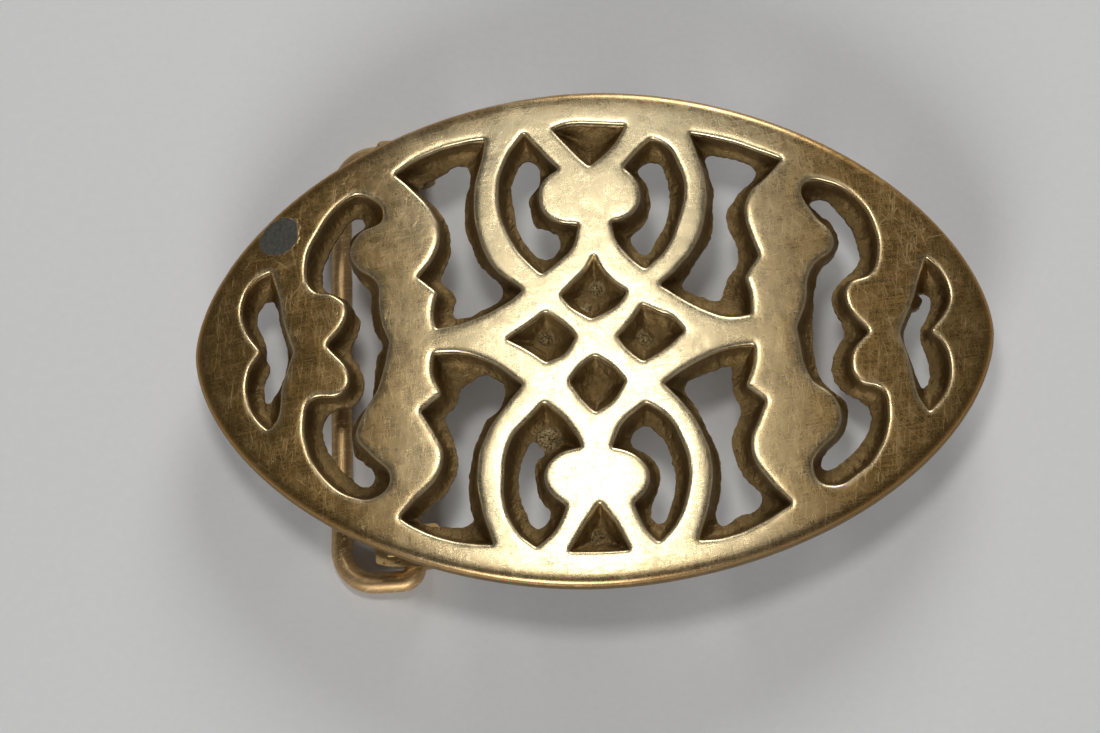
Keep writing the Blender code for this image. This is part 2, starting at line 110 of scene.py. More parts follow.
PIERCED = {
    "quad_nw": [
        (-20, 18, CORNER), (-17.5, 19.6), (-13.8, 20.8), (-10.4, 21.3, CORNER), (-10.8, 19.3),
        (-11.6, 16.2), (-11.5, 12.1), (-9.9, 7.7), (-6.7, 4.9, CORNER), (-8.8, 3.4), (-12.3, 1.9),
        (-15.8, 1.2, CORNER), (-16.1, 2.9), (-15.6, 5.1, CORNER), (-17.7, 6.8, CORNER), (-15.9, 9),
        (-15.3, 11.4), (-16.3, 14), (-18.2, 16.3),
    ],
    "quad_ne": [
        (10.7, 21.2, CORNER), (14.9, 20.2), (17.9, 19.1), (20.2, 18.2, CORNER),
        (18.5, 16.3), (16.6, 14.3), (16.2, 12.4), (16.7, 10.2), (17.5, 8, CORNER),
        (16, 5.6, CORNER), (16.5, 3.7), (16.5, 1.7, CORNER), (13.9, 1.5), (10.9, 2.7),
        (7.2, 5, CORNER), (9.3, 7), (11.2, 9.6), (12.1, 12.6), (12.1, 16.4), (11.4, 19.1),
    ],
    "quad_sw": [
        (-16, -1.3, CORNER), (-13.4, -1.4), (-10.3, -2.5), (-6.9, -5, CORNER), (-8.8, -7.3),
        (-10.6, -9.8), (-11.7, -13.4), (-11.4, -17.1), (-10.1, -21.5, CORNER), (-14.6, -20.8),
        (-18, -19.4), (-19.7, -18.3, CORNER), (-17.8, -16.2), (-15.9, -14.3), (-15.2, -12),
        (-16.1, -9.7), (-17.5, -7.3, CORNER), (-15.3, -5.6, CORNER), (-16.2, -3.3),
    ],
    "quad_se": [
        (16.7, -1.5, CORNER), (14.2, -1.8), (10.6, -3.2), (7.3, -5.3, CORNER), (9.2, -7.3),
        (10.9, -10), (12, -13.4), (11.7, -17.2), (10.4, -21.6, CORNER), (13.2, -21.3),
        (16.6, -20), (19.9, -18, CORNER), (17.9, -15.7), (16.3, -13.3), (16.1, -11.3),
        (16.8, -9.5), (17.7, -7.3, CORNER), (15.7, -5.7, CORNER), (16.5, -3.5),
    ],
    "moon_nw": [
        (-6.4, 21.7, CORNER), (-4.9, 19.9), (-2.8, 17.7, CORNER), (-4.5, 16.4), (-4.9, 14.9),
        (-4.4, 13), (-3, 12), (-0.9, 11.7, CORNER), (-1.7, 9.1), (-3.3, 7.6), (-4.8, 6.5, CORNER),
        (-6.6, 8.3), (-8.4, 11.4), (-9.2, 14.8), (-8.5, 18.6),
    ],
    "moon_ne": [
        (6.8, 20.7, CORNER), (8.4, 19.8), (9.5, 17.8), (10.1, 15.2), (9.5, 12.3), (7.8, 8.5),
        (5.8, 6.7, CORNER), (4.3, 8), (3, 9.7), (2.4, 11.9, CORNER), (3.8, 12.2), (5.1, 13.2),
        (5.5, 14.8), (4.9, 16.5), (3.8, 17.7, CORNER), (5.3, 19.4),
    ],
    "moon_sw": [
        (-4.8, -7, CORNER), (-2.9, -8.6), (-1.6, -10.4), (-1, -11.7, CORNER), (-3.6, -12.5),
        (-4.9, -14.4), (-4.4, -16.1), (-2.7, -17.7, CORNER), (-3.9, -20.2), (-5.8, -21.9, CORNER),
        (-7.7, -20.2), (-8.9, -17.6), (-9, -14.3), (-8.2, -10.6), (-6.5, -8.7),
    ],
    "moon_se": [
        (5.5, -7.3, CORNER), (7.4, -8.5), (8.9, -10.9), (9.7, -14), (9.4, -16.9), (8.2, -19.8),
        (6.5, -21.7, CORNER), (5.2, -20.3), (4, -17.6, CORNER), (5.2, -16.4), (5.7, -14.8),
        (5, -13.3), (3.6, -12.3), (1.9, -11.8, CORNER), (3.2, -9.2),
    ],
    "eye_w": [
        (-33.1, 8.4, CORNER), (-34.6, 7.7), (-36.1, 5.3), (-36, 2.8), (-34.2, -0.2, CORNER),
        (-35.5, -2.4), (-35.5, -5.1), (-34.5, -7.3), (-33.3, -8.5, CORNER), (-32.4, -7.4),
        (-31.9, -3.9), (-30.7, -0.3, CORNER), (-31.6, 2.3), (-32.2, 5.3),
    ],
    "eye_e": [
        (34.5, 7.7, CORNER), (35.9, 6.3), (36.8, 3.8), (36.3, 1.9), (34.7, -0.1, CORNER),
        (35.9, -1.4), (36.5, -3.4), (36.1, -6.2), (34.2, -8.6, CORNER), (33.2, -6.9),
        (32.5, -3.8), (31.5, -0.3, CORNER), (33, 3.1), (33.8, 5.6),
    ],
    "wave_w": [
        (-23.5, 16), (-25.6, 15.2), (-27.9, 12.5), (-29.4, 8.7), (-28.7, 6.1), (-26.5, 5.4),
        (-25.1, 3.8), (-27.2, 0.1, CORNER), (-24.8, -3.7), (-25.8, -5.1), (-28.8, -5.5),
        (-29.5, -7.2), (-29.2, -10.6), (-27.5, -13.7), (-24.8, -15.8), (-22, -16), (-20.6, -14.2),
        (-22.7, -11.5), (-24.1, -9.6), (-23.5, -7.6), (-21.8, -4.5), (-20.6, 0.1, CORNER),
        (-21.5, 2.5), (-21.7, 4.6), (-21.8, 6.4), (-24, 8.3), (-24.7, 9.8), (-23.9, 11.7),
        (-21.2, 13.5),
    ],
    "wave_e": [
        (22.3, 15.5), (24.8, 15.7), (27.7, 13.9), (29.5, 10.5), (29.6, 7.7), (28.9, 6),
        (26.6, 4.8), (26.1, 3.4), (28.4, -0.2, CORNER), (26.5, -2.9), (27.1, -5.3), (29.5, -6.3),
        (30, -8.4), (29.2, -11.9), (27, -14.7), (23.4, -16.1), (22.1, -14.2), (22.9, -12.5),
        (24.6, -10.8), (25.2, -8.9), (24.6, -7), (22.4, -5.1), (21, 0.3, CORNER), (22.1, 3.1),
        (22.3, 5.4), (23.1, 7), (25, 8.6), (25.1, 10), (23.2, 12.3),
    ],
}

SUNK = {
    "gem_n": [
        (0.6, 8.4, CORNER), (1.3, 6.8), (2.4, 5.5), (3.9, 4.4, CORNER), (2.9, 3),
        (0.2, 1.6, CORNER), (-1.8, 2.9), (-2.9, 4.2, CORNER), (-1.3, 5.8), (-0.2, 6.9),
    ],
    "gem_w": [
        (-4.5, 2.5, CORNER), (-3, 1.5), (-1.4, -0.2, CORNER), (-2.8, -2.1), (-4.5, -2.8, CORNER),
        (-6.3, -1.5), (-8.6, -0.2, CORNER), (-6.5, 1.1),
    ],
    "gem_e": [
        (5.4, 3, CORNER), (7, 2.2), (8.3, 1.7), (9.7, 0.1, CORNER), (7.8, -1.6), (5.4, -3, CORNER),
        (3.8, -1.7), (2.7, -0.3, CORNER), (4.3, 1.4),
    ],
    "gem_s": [
        (0.5, -2.3, CORNER), (1.9, -3.2), (3.5, -5, CORNER), (2.2, -7), (0.4, -8.2, CORNER),
        (-1, -6.7), (-2.2, -4.9, CORNER), (-0.9, -3.2),
    ],
    "tri_n": [
        (-3.5, 22, CORNER), (-1.6, 22.5), (1.5, 22.4), (4.2, 22.2, CORNER), (2.7, 19.9),
        (0.3, 17.8, CORNER), (-1.5, 19.7),
    ],
    "tri_s": [
        (0.6, -17.5, CORNER), (2.1, -19.5), (3.6, -22.4, CORNER), (0.5, -22.5),
        (-2.6, -22.4, CORNER), (-0.9, -19.6),
    ],
}

# Where each pierced opening comes out at the back: the rough cast ledge narrows it unevenly.
THROUGH = {
    "quad_nw": [
        (-17.7, 17.2), (-16.2, 18), (-14.9, 18.7), (-14, 19.3), (-12.9, 19.4), (-12.4, 18.9),
        (-12.2, 17.8), (-12.7, 15.9), (-12.9, 13.9), (-12.8, 12.1), (-12, 10), (-11.4, 8.6),
        (-9.9, 7), (-9, 5.5), (-9.3, 4.7), (-11.1, 3.7), (-13.6, 2.8), (-14.1, 3), (-14, 5.3),
        (-15.4, 6.9), (-14.6, 9.3), (-14.4, 10.9), (-14.8, 13.2), (-16.1, 15.1),
    ],
    "quad_ne": [
        (12.4, 19.3), (14.3, 19.4), (15.4, 19.1), (17.4, 17.9), (17.4, 17.1), (15.7, 15.3),
        (14.4, 13.5), (14.3, 12.1), (15.3, 9.6), (15.3, 8), (14.2, 6.1), (13.8, 4.9), (13.3, 3.9),
        (11.9, 4.1), (10.3, 4.8), (9.5, 5.4), (10, 6.5), (11.7, 9.2), (12.7, 10.9), (12.9, 14.2),
        (13, 15.8), (12.6, 17.7),
    ],
    "quad_sw": [
        (-11.4, -3.2), (-9.9, -3.7), (-9, -4.4), (-8.9, -5.2), (-9.6, -7), (-10.9, -8.1),
        (-11.6, -9.6), (-12.5, -12.3), (-12.8, -14.7), (-12.6, -17.5), (-12.3, -18.4),
        (-13.3, -19), (-15.1, -19), (-17.8, -18.1), (-17.4, -17.4), (-15.1, -15.3),
        (-14.5, -14.3), (-13.9, -12.9), (-14.2, -10.5), (-14.9, -8.6), (-15.2, -7.4),
        (-14.1, -6.4), (-13.7, -5.4), (-13.7, -4.8), (-12.5, -3.9),
    ],
    "quad_se": [
        (9.8, -4.6), (10.8, -4.1), (12.5, -3.5), (14.2, -3.2), (14.3, -4.8), (14.5, -6.1),
        (15.1, -7.6), (14.9, -8.7), (14.2, -10.3), (14.3, -12.4), (14.8, -13.9), (15.7, -15.2),
        (17, -17), (16.6, -17.8), (15.6, -18.5), (14.6, -18.7), (12.9, -19.7), (12.3, -19.1),
        (12.7, -16.5), (12.9, -14.4), (12.6, -12.1), (11.5, -9.4), (10.4, -7.1), (9.5, -5.5),
    ],
    "moon_nw": [
        (-6.7, 19.4), (-6, 19.5), (-5.2, 19), (-4.9, 18), (-5.1, 16.6), (-6.1, 15.4), (-6, 13.9),
        (-5.4, 12.3), (-4.4, 12), (-3.2, 11.3), (-2.9, 10.5), (-3.2, 9.6), (-4.1, 8.8),
        (-4.9, 8.8), (-6.1, 9.9), (-7.3, 11.9), (-7.7, 14), (-8, 16.5), (-7.7, 17.8),
    ],
    "moon_ne": [
        (5.3, 18.3), (6, 18.7), (7, 19), (7.6, 18.8), (8, 17.9), (8.5, 15.7), (8.5, 14.6),
        (8, 12.4), (6.9, 10.3), (6.2, 9.2), (5.6, 8.9), (4.9, 9.5), (4.3, 10.7), (5.7, 12.1),
        (6.3, 13.5), (6.4, 15.2), (6, 16.7), (5.3, 17.6),
    ],
    "moon_sw": [
        (-6.2, -10.4), (-5.6, -10.8), (-4.9, -11.7), (-5.7, -12.4), (-6, -13.5), (-5.9, -14.9),
        (-5.4, -16.5), (-4.5, -18.2), (-4.9, -19), (-5.5, -19.5), (-6.2, -19.3), (-7, -17.9),
        (-7.5, -16.4), (-7.7, -14.3), (-7.5, -12.9), (-6.9, -11.4),
    ],
    "moon_se": [
        (3.8, -10.7), (4.1, -9.8), (4.8, -9.2), (5.7, -9.2), (6.4, -9.7), (7.3, -10.7),
        (7.9, -12.5), (8.3, -14.8), (8.1, -16.2), (7.5, -18.1), (7, -19.2), (6.3, -19.3),
        (5.7, -18.6), (5.7, -17.7), (6.3, -16.1), (6.7, -14.6), (6.3, -13.1), (5.3, -12.1),
        (4.1, -11.4),
    ],
    "eye_w": [
        (-33.7, 6), (-34.5, 5.5), (-35, 4.3), (-34.8, 2.9), (-34.3, 1.9), (-34, 0.9), (-34, -0.3),
        (-33.6, -1.5), (-34.1, -2.6), (-34.2, -3.8), (-33.8, -5.1), (-33.1, -4.4), (-32.4, -3.4),
        (-31.9, -2.1), (-31.6, -0.6), (-31.7, 0.3), (-32, 1.7), (-32.5, 3.4), (-32.8, 4.9),
    ],
    "eye_e": [
        (33.4, 4), (34, 4.5), (34.8, 4.3), (35.1, 3.5), (34.5, 1.8), (33.9, 0.7), (33.8, -0.3),
        (34.3, -2), (34.6, -3.8), (34.3, -5.2), (33.7, -5.6), (33.4, -5), (32.8, -3.1),
        (32.1, -0.8), (32.2, 0.6), (32.8, 2.1),
    ],
    "wave_w": [
        (-24.3, 14.4), (-23.6, 14), (-23.4, 13.5), (-24.2, 12.6), (-24.9, 12), (-25, 11),
        (-25.1, 9.9), (-24.7, 8.6), (-23.7, 7.2), (-23, 6.5), (-22.8, 5.4), (-22.9, 4.4),
        (-22.7, 3.3), (-22.5, 2), (-21.6, 0.1), (-22.1, -0.6), (-22.4, -2.1), (-22.6, -4.2),
        (-22.8, -5.6), (-24, -6.8), (-24.7, -8), (-24.8, -9.6), (-24.5, -11.2), (-23.5, -12),
        (-22.6, -12.8), (-22.5, -13.8), (-23, -14.4), (-24, -14.3), (-25.1, -13.4),
        (-26.4, -12.1), (-27.4, -10.4), (-28, -8.9), (-27.9, -7.4), (-27.1, -6.3), (-26, -5.9),
        (-24.9, -5.9), (-24, -4.9), (-23.6, -3.4), (-24, -2), (-24.8, -0.7), (-25, 0.2),
        (-24.4, 1.7), (-24, 3.1), (-24.6, 4.2), (-25.6, 5.5), (-26.9, 6.2), (-27.8, 6.9),
        (-28, 8.5), (-27.6, 10.1), (-26.9, 11.4), (-25.8, 13.1),
    ],
    "wave_e": [
        (22.9, 14.2), (23.4, 14.5), (24.7, 14.5), (25.4, 13.8), (27.1, 11.5), (27.8, 9.4),
        (27.9, 8), (27.4, 7.1), (26, 5.9), (24.9, 4.3), (24.9, 3.2), (25.8, 1.2), (26, 0),
        (25, -1.5), (24.6, -3.2), (24.7, -4.5), (25.8, -5.9), (27.6, -7), (28.3, -8.3),
        (28.1, -9.9), (27.3, -11.3), (25.3, -13.2), (24.1, -14), (23.2, -14), (23.1, -13.2),
        (23.7, -12.1), (25.4, -10.4), (26, -8.5), (25.9, -7.2), (24.3, -5.7), (23.2, -4.1),
        (22.8, -1.7), (22.8, 1.2), (23.2, 5.1), (23.7, 6.9), (25.4, 8.8), (25.8, 10.3),
        (25.2, 11.8), (23.8, 13.1),
    ],
}


# --------------------
# Small geometry helpers. Plan points are numpy arrays of x and y in millimetres.
# --------------------


def evaluated_mesh(curve):
    """The mesh that Blender makes of a curve."""
    guide = bpy.data.objects.new(curve.name, curve)
    bpy.context.scene.collection.objects.link(guide)
    bpy.context.view_layer.update()
    mesh = bpy.data.meshes.new_from_object(guide.evaluated_get(bpy.context.evaluated_depsgraph_get()))
    bpy.data.objects.remove(guide, do_unlink=True)
    return mesh


def smooth_loop(points):
    """The closed Bezier outline through the points, as many small steps."""
    curve = bpy.data.curves.new("guide", "CURVE")
    curve.dimensions = "2D"
    curve.fill_mode = "NONE"
    spline = curve.splines.new("BEZIER")
    spline.bezier_points.add(len(points) - 1)
    spline.use_cyclic_u = True
    spline.resolution_u = CURVE_STEPS
    for slot, (x, y, *corner) in zip(spline.bezier_points, points):
        slot.co = (x, y, 0.0)
        handle = corner[0] if corner else "AUTO"
        slot.handle_left_type = handle
        slot.handle_right_type = handle
    mesh = evaluated_mesh(curve)
    loop = np.array([vert.co[:2] for vert in mesh.vertices])
    bpy.data.meshes.remove(mesh)
    return loop


def resample(loop, spacing):
    """Even steps along a closed loop."""
    closed = np.vstack([loop, loop[:1]])
    along = np.concatenate([[0.0], np.cumsum(np.hypot(*np.diff(closed, axis=0).T))])
    count = int(round(along[-1] / spacing))
    at = np.arange(count) * along[-1] / count
    return np.column_stack([np.interp(at, along, closed[:, axis]) for axis in (0, 1)])


def soften(loop, rounds):
    for _ in range(rounds):
        loop = 0.25 * np.roll(loop, 1, axis=0) + 0.5 * loop + 0.25 * np.roll(loop, -1, axis=0)
    return loop


def signed_area(loop):
    x, y = loop.T
    return 0.5 * float(np.sum(x * np.roll(y, -1) - np.roll(x, -1) * y))


def inward_normals(loop):
    """Unit normals of a counter-clockwise loop, pointing into it."""
    along = np.roll(loop, -1, axis=0) - np.roll(loop, 1, axis=0)
    along /= np.hypot(*along.T)[:, None]
    return np.column_stack([-along[:, 1], along[:, 0]])


def wobble(points, size, seed, z=None):
    """Smooth noise between about -1 and 1 at each point; size is its wavelength."""
    level = np.zeros(len(points)) if z is None else z
    return np.array([
        noise.noise(Vector((x / size + seed, y / size - seed, h / size + 0.37 * seed)))
        for (x, y), h in zip(points[:, :2], level)
    ])


def layered(points, waves, level=0.0):
    """The level with several layers of noise added."""
    for height, size, seed in waves:
        level = level + height * wobble(points, size, seed)
    return level


def inside(points, loop):
    """True where a point is inside the closed loop."""
    found = np.zeros(len(points), bool)
    low, high = loop.min(axis=0), loop.max(axis=0)
    near = np.flatnonzero(((points >= low) & (points <= high)).all(axis=1))
    x, y = points[near].T
    odd = np.zeros(len(near), bool)
    for (ax, ay), (bx, by) in zip(loop, np.roll(loop, -1, axis=0)):
        crosses = (ay > y) != (by > y)
        if ay != by:
            odd ^= crosses & (x < ax + (y - ay) * (bx - ax) / (by - ay))
    found[near] = odd
    return found


class Outlines:
    """Several closed loops, and the distance of any point to the nearest of them."""

    def __init__(self, loops):
        self.loops = loops
        self.starts = np.vstack(loops)
        self.before = np.vstack([np.roll(loop, 1, axis=0) for loop in loops])
        self.after = np.vstack([np.roll(loop, -1, axis=0) for loop in loops])
        self.owner = np.concatenate([np.full(len(loop), i) for i, loop in enumerate(loops)])
        self.tree = kdtree.KDTree(len(self.starts))
        for index, (x, y) in enumerate(self.starts):
            self.tree.insert((x, y, 0.0), index)
        self.tree.balance()

    def distance(self, points):
        """(distance to the nearest loop, that loop's number) for each point."""
        nearest = np.array([self.tree.find((x, y, 0.0))[1] for x, y in points])
        here = self.starts[nearest]
        gaps = []
        for other in (self.before[nearest], self.after[nearest]):
            span = other - here
            share = np.sum((points - here) * span, axis=1) / np.maximum(np.sum(span**2, axis=1), 1e-12)
            foot = here + np.clip(share, 0.0, 1.0)[:, None] * span
            gaps.append(np.hypot(*(points - foot).T))
        return np.minimum(*gaps), self.owner[nearest]

    def signed(self, points):
        """As distance, but positive inside a loop and negative outside all of them."""
        gap, owner = self.distance(points)
        within = np.zeros(len(points), bool)
        for loop in self.loops:
            within |= inside(points, loop)
        return np.where(within, gap, -gap), owner


def profile(table, distance):
    return np.interp(distance, [d for d, _ in table], [z for _, z in table])


# --------------------
# Face plate
# --------------------


def power(value, exponent):
    return math.copysign(abs(value) ** exponent, value)


def plate_outline(spacing):
    points = []
    for step in range(RIM_STEPS):
        angle = 2 * math.pi * (step + 0.5) / RIM_STEPS
        x = HALF_LENGTH * power(math.cos(angle), 2 / END_POWER)
        y = HALF_WIDTH * power(math.sin(angle), 2 / SIDE_POWER)
        points.append((x, y))
    return resample(np.array(points), spacing)


def plate_outward(points):
    """Unit normals of the superellipse that goes through each point."""
    x = np.sign(points[:, 0]) * np.abs(points[:, 0] / HALF_LENGTH) ** (END_POWER - 1)
    y = np.sign(points[:, 1]) * np.abs(points[:, 1] / HALF_WIDTH) ** (SIDE_POWER - 1)
    normal = np.column_stack([x * END_POWER / HALF_LENGTH, y * SIDE_POWER / HALF_WIDTH])
    return normal / np.hypot(*normal.T)[:, None]


def carved_loops(outlines, seed):
    """The outlines as even counter-clockwise loops, a little soft and uneven, as a carver leaves them."""
    loops = []
    for index, points in enumerate(outlines):
        loop = resample(smooth_loop(points), OUTLINE_SPACING)
        if signed_area(loop) < 0:
            loop = loop[::-1]
        loop = soften(loop, 2)
        uneven = CARVED[0] * wobble(loop, CARVED[1], seed + index)
        loops.append(loop + inward_normals(loop) * uneven[:, None])
    return loops


class Plan:
    """Collects points and the edges that the triangulation has to keep."""

    def __init__(self):
        self.points = []
        self.edges = []
        self.count = 0

    def add(self, points, kept=None, closed=True):
        """Adds a loop. Points that aren't kept are left out, with the edges that end at them."""
        kept = np.ones(len(points), bool) if kept is None else kept
        number = np.cumsum(kept) - 1 + self.count
        if closed:
            following = np.roll(np.arange(len(points)), -1)
            joined = kept & kept[following]
            self.edges += [
                (int(number[i]), int(number[following[i]])) for i in np.flatnonzero(joined)
            ]
        self.points.append(points[kept])
        self.count += int(kept.sum())

    def triangulate(self):
        coords = [Vector(point) for point in np.vstack(self.points)]
        found = geometry.delaunay_2d_cdt(coords, self.edges, [], 0, 1e-5, False)
        points = np.array([tuple(point) for point in found[0]])
        faces = np.array([face for face in found[2] if len(face) == 3])
        a, b, c = points[faces[:, 0]], points[faces[:, 1]], points[faces[:, 2]]
        turn = (b - a)[:, 0] * (c - a)[:, 1] - (b - a)[:, 1] * (c - a)[:, 0]
        faces[turn < 0] = faces[turn < 0][:, ::-1]
        return points, faces[np.abs(turn) > 1e-9]


def scatter(spacing, seed):
    """A jittered hexagonal grid over the plate."""
    rng = np.random.default_rng(seed)
    rows = np.arange(-HALF_WIDTH, HALF_WIDTH, spacing * 0.866)
    points = []
    for number, y in enumerate(rows):
        x = np.arange(-HALF_LENGTH, HALF_LENGTH, spacing) + 0.5 * spacing * (number % 2)
        points.append(np.column_stack([x, np.full(len(x), y)]))
    points = np.vstack(points)
    return points + rng.uniform(-0.2, 0.2, points.shape) * spacing


def cut_away(points, values, faces):
    """Cuts the triangles along values = 0 and keeps the side where they are negative."""
    values = np.where(np.abs(values) < 1e-4, -1e-4, values)
    made = {}
    extra = []
    kept = []

    def crossing(i, j):
        key = (min(i, j), max(i, j))
        if key not in made:
            share = values[key[0]] / (values[key[0]] - values[key[1]])
            extra.append(points[key[0]] * (1 - share) + points[key[1]] * share)
            made[key] = len(points) + len(extra) - 1
        return made[key]

    out = values > 0
    for face in faces[~out[faces].all(axis=1)]:
        state = out[face]
        gone = int(state.sum())
        if gone == 0:
            kept.append(tuple(face))
            continue
        turn = int(np.flatnonzero(state if gone == 1 else ~state)[0])
        a, b, c = np.roll(face, -turn)
        ab, ca = crossing(a, b), crossing(c, a)
        if gone == 1:
            kept += [(ab, b, c), (ab, c, ca)]
        else:
            kept.append((a, ab, ca))
    return np.vstack([points, np.array(extra)]), np.array(kept)


def open_edges(faces):
    """Directed edges that have a face on one side only."""
    pairs = np.vstack([faces[:, [0, 1]], faces[:, [1, 2]], faces[:, [2, 0]]])
    low, high = pairs.min(axis=1).astype(np.int64), pairs.max(axis=1)
    _, first, count = np.unique(low * (pairs.max() + 1) + high, return_index=True, return_counts=True)
    return pairs[first[count == 1]]


def compact(points, faces):
    """Drops the points that no face uses."""
    used, index = np.unique(faces, return_inverse=True)
    return points[used], index.reshape(-1, 3)


def skirt(points, faces, edges, moved):
    """Adds a strip from the directed open edges to the moved copies of their ends.

    Returns the points, the faces and the new lower edges, in the same directions.
    """
    ends, index = np.unique(edges, return_inverse=True)
    index = index.reshape(-1, 2) + len(points)
    strip = np.vstack([
        np.column_stack([edges[:, 1], edges[:, 0], index[:, 0]]),
        np.column_stack([edges[:, 1], index[:, 0], index[:, 1]]),
    ])
    return np.vstack([points, moved(points[ends])]), np.vstack([faces, strip]), index


def ledge_stretch(into, to_hole):
    """How much the wall's slope is spread where the ledge is wide."""
    low, high = WIDE_LEDGE
    share = np.clip((into + to_hole - low) / (high - low), 0.0, 1.0)
    return 1.0 - WIDE_STRETCH * share * share * (3 - 2 * share)


def lip_width(plan):
    """How much wider than usual the worn lips are: the most along the inner edges of the two webs."""
    off_web = (np.abs(plan[:, 0]) - WIDE_LIP_X) / WIDE_LIP_REACH
    return 1.0 + WIDE_LIP * np.exp(-(off_web**2)) + 0.15 * wobble(plan, 4.0, 33.0)


def face_height(plan, signed, owner, to_hole, pierced_count):
    """Height of the top surface below the flat face, with the cast roughness of its walls."""
    pierced = owner < pierced_count
    rough = np.clip((signed + 0.02) / 0.3, 0.0, 1.0)
    reach = signed + rough * layered(plan, WALL_SHIFT)
    reach = np.where(signed > 0, reach, signed / lip_width(plan))
    wall = reach * np.where(signed > 0, ledge_stretch(signed, to_hole), 1.0)
    z = np.where(pierced, profile(LIP + WALL + LEDGE, wall), profile(LIP + POCKET, reach))
    return z + rough * layered(plan, WALL_ROUGH)


def add_contours(plan, loops, pierced_count, outlines, through):
    """Lines along every opening's lip and wall, except where they would run into another line."""
    for number, loop in enumerate(loops):
        normals = inward_normals(loop)
        inner = WALL + LEDGE if number < pierced_count else POCKET
        width = lip_width(loop)[:, None]
        for offset, _ in LIP + inner:
            moved = loop + normals * offset * (width if offset < 0 else 1.0)
            if offset == 0.0:
                plan.add(moved)
                continue
            gap, _ = outlines.distance(moved)
            hole, _ = through.signed(moved)
            least = np.linalg.norm(moved - loop, axis=1) - CONTOUR_SLACK
            plan.add(moved, (gap > least) & (hole < PAST_HOLE))
    for loop in through.loops:
        for offset in HOLE_CONTOURS:
            moved = loop + inward_normals(loop) * offset
            gap, _ = outlines.signed(moved)
            plan.add(moved[gap > CLEAR], closed=False)


def add_fill(plan, outlines, through, rim):
    """Scattered points over the face and, more closely, over the floors of the openings."""
    grid = scatter(FACE_SPACING, 4)
    signed, _ = outlines.signed(grid)
    rim_gap, _ = rim.signed(grid)
    on_face = signed / lip_width(grid) < LIP[0][0] - 0.25
    plan.add(grid[on_face & (rim_gap > RIM_TOP[-1][0] + CLEAR)], closed=False)
    fine = scatter(FLOOR_SPACING, 5)
    signed, _ = outlines.signed(fine)
    hole, _ = through.signed(fine)
    plan.add(fine[(signed > FLOOR_FROM) & (hole < CLEAR)], closed=False)


def make_top(loops, pierced_count):
    """The plate's top with its walls and ledges, cut along the edges of the through holes."""
    outlines = Outlines(loops)
    through = Outlines(carved_loops(list(THROUGH.values()), 60.5))
    outline = plate_outline(RIM_SPACING)
    rim = Outlines([outline])
    plan = Plan()
    for inset, _ in RIM_TOP:
        plan.add(outline - plate_outward(outline) * inset)
    add_contours(plan, loops, pierced_count, outlines, through)
    add_fill(plan, outlines, through, rim)
    points, faces = plan.triangulate()

    signed, owner = outlines.signed(points)
    hole, _ = through.signed(points)
    rim_gap, _ = rim.distance(points)
    z = face_height(points, signed, owner, np.maximum(-hole, 0.0), pierced_count)
    z = np.where(signed / lip_width(points) < LIP[0][0], profile(RIM_TOP, rim_gap), z)
    face = np.clip(-signed / 1.2, 0.0, 1.0) * np.clip(rim_gap / 1.5, 0.0, 1.0)
    z = z + face * layered(points, FACE_WAVES)
    value = np.minimum(layered(points, HOLE_RAGGED, hole), signed - LEAST_LEDGE)
    return cut_away(np.column_stack([points, z]), value, faces)


def make_plate_surface():
    """Points (flat plan and height) and faces of the whole plate, before it is bowed."""
    pierced_count = len(PIERCED)
    loops = carved_loops(list(PIERCED.values()) + list(SUNK.values()), 0.5)
    points, faces = compact(*make_top(loops, pierced_count))

    edges = open_edges(faces)
    outer = Outlines([plate_outline(RIM_SPACING)]).distance(points[edges[:, 0], :2])[0] < 0.01
    rim_edges, hole_edges = edges[outer], edges[~outer]

    def lowered(share):
        def move(ends):
            low = ends.copy()
            low[:, 2] = ends[:, 2] * (1 - share) - THICKNESS * share
            rough = 0.05 * wobble(ends, 0.4, 31.0 + share)
            low[:, :2] += rough[:, None]
            return low
        return move

    for share in (0.5, 1.0):
        points, faces, hole_edges = skirt(points, faces, hole_edges, lowered(share))
    last = 0.0
    for inset, z in RIM_SIDE:
        step = inset - last
        last = inset

        def tucked(ends, step=step, z=z):
            low = ends.copy()
            low[:, :2] -= plate_outward(ends[:, :2]) * step
            low[:, 2] = z
            return low

        points, faces, rim_edges = skirt(points, faces, rim_edges, tucked)
    return points, faces, rim_edges, hole_edges, loops


def add_back(points, faces, edges):
    """Closes the plate with its flat cast back. Edges are the directed edges that it fills between."""
    ends, index = np.unique(edges, return_inverse=True)
    index = index.reshape(-1, 2)
    border = Outlines([points[ends, :2]])
    grid = scatter(BACK_SPACING, 9)
    clear = np.array([border.tree.find((x, y, 0.0))[2] > 0.6 for x, y in grid])
    reach = np.abs(grid[:, 0] / HALF_LENGTH) ** END_POWER + np.abs(grid[:, 1] / HALF_WIDTH) ** SIDE_POWER
    grid = grid[clear & (reach < 0.93)]
    plan = Plan()
    plan.add(points[ends, :2], closed=False)
    plan.edges = [(int(a), int(b)) for a, b in index]
    plan.add(grid, closed=False)
    made, back = plan.triangulate()
    if len(made) != len(ends) + len(grid):
        raise ValueError("the back's outlines cross")
    back = back[filled(back, index)]
    level = layered(grid, BACK_WAVES, -THICKNESS)
    number = np.concatenate([ends, len(points) + np.arange(len(grid))])
    points = np.vstack([points, np.column_stack([grid, level])])
    return points, np.vstack([faces, number[back][:, ::-1]])


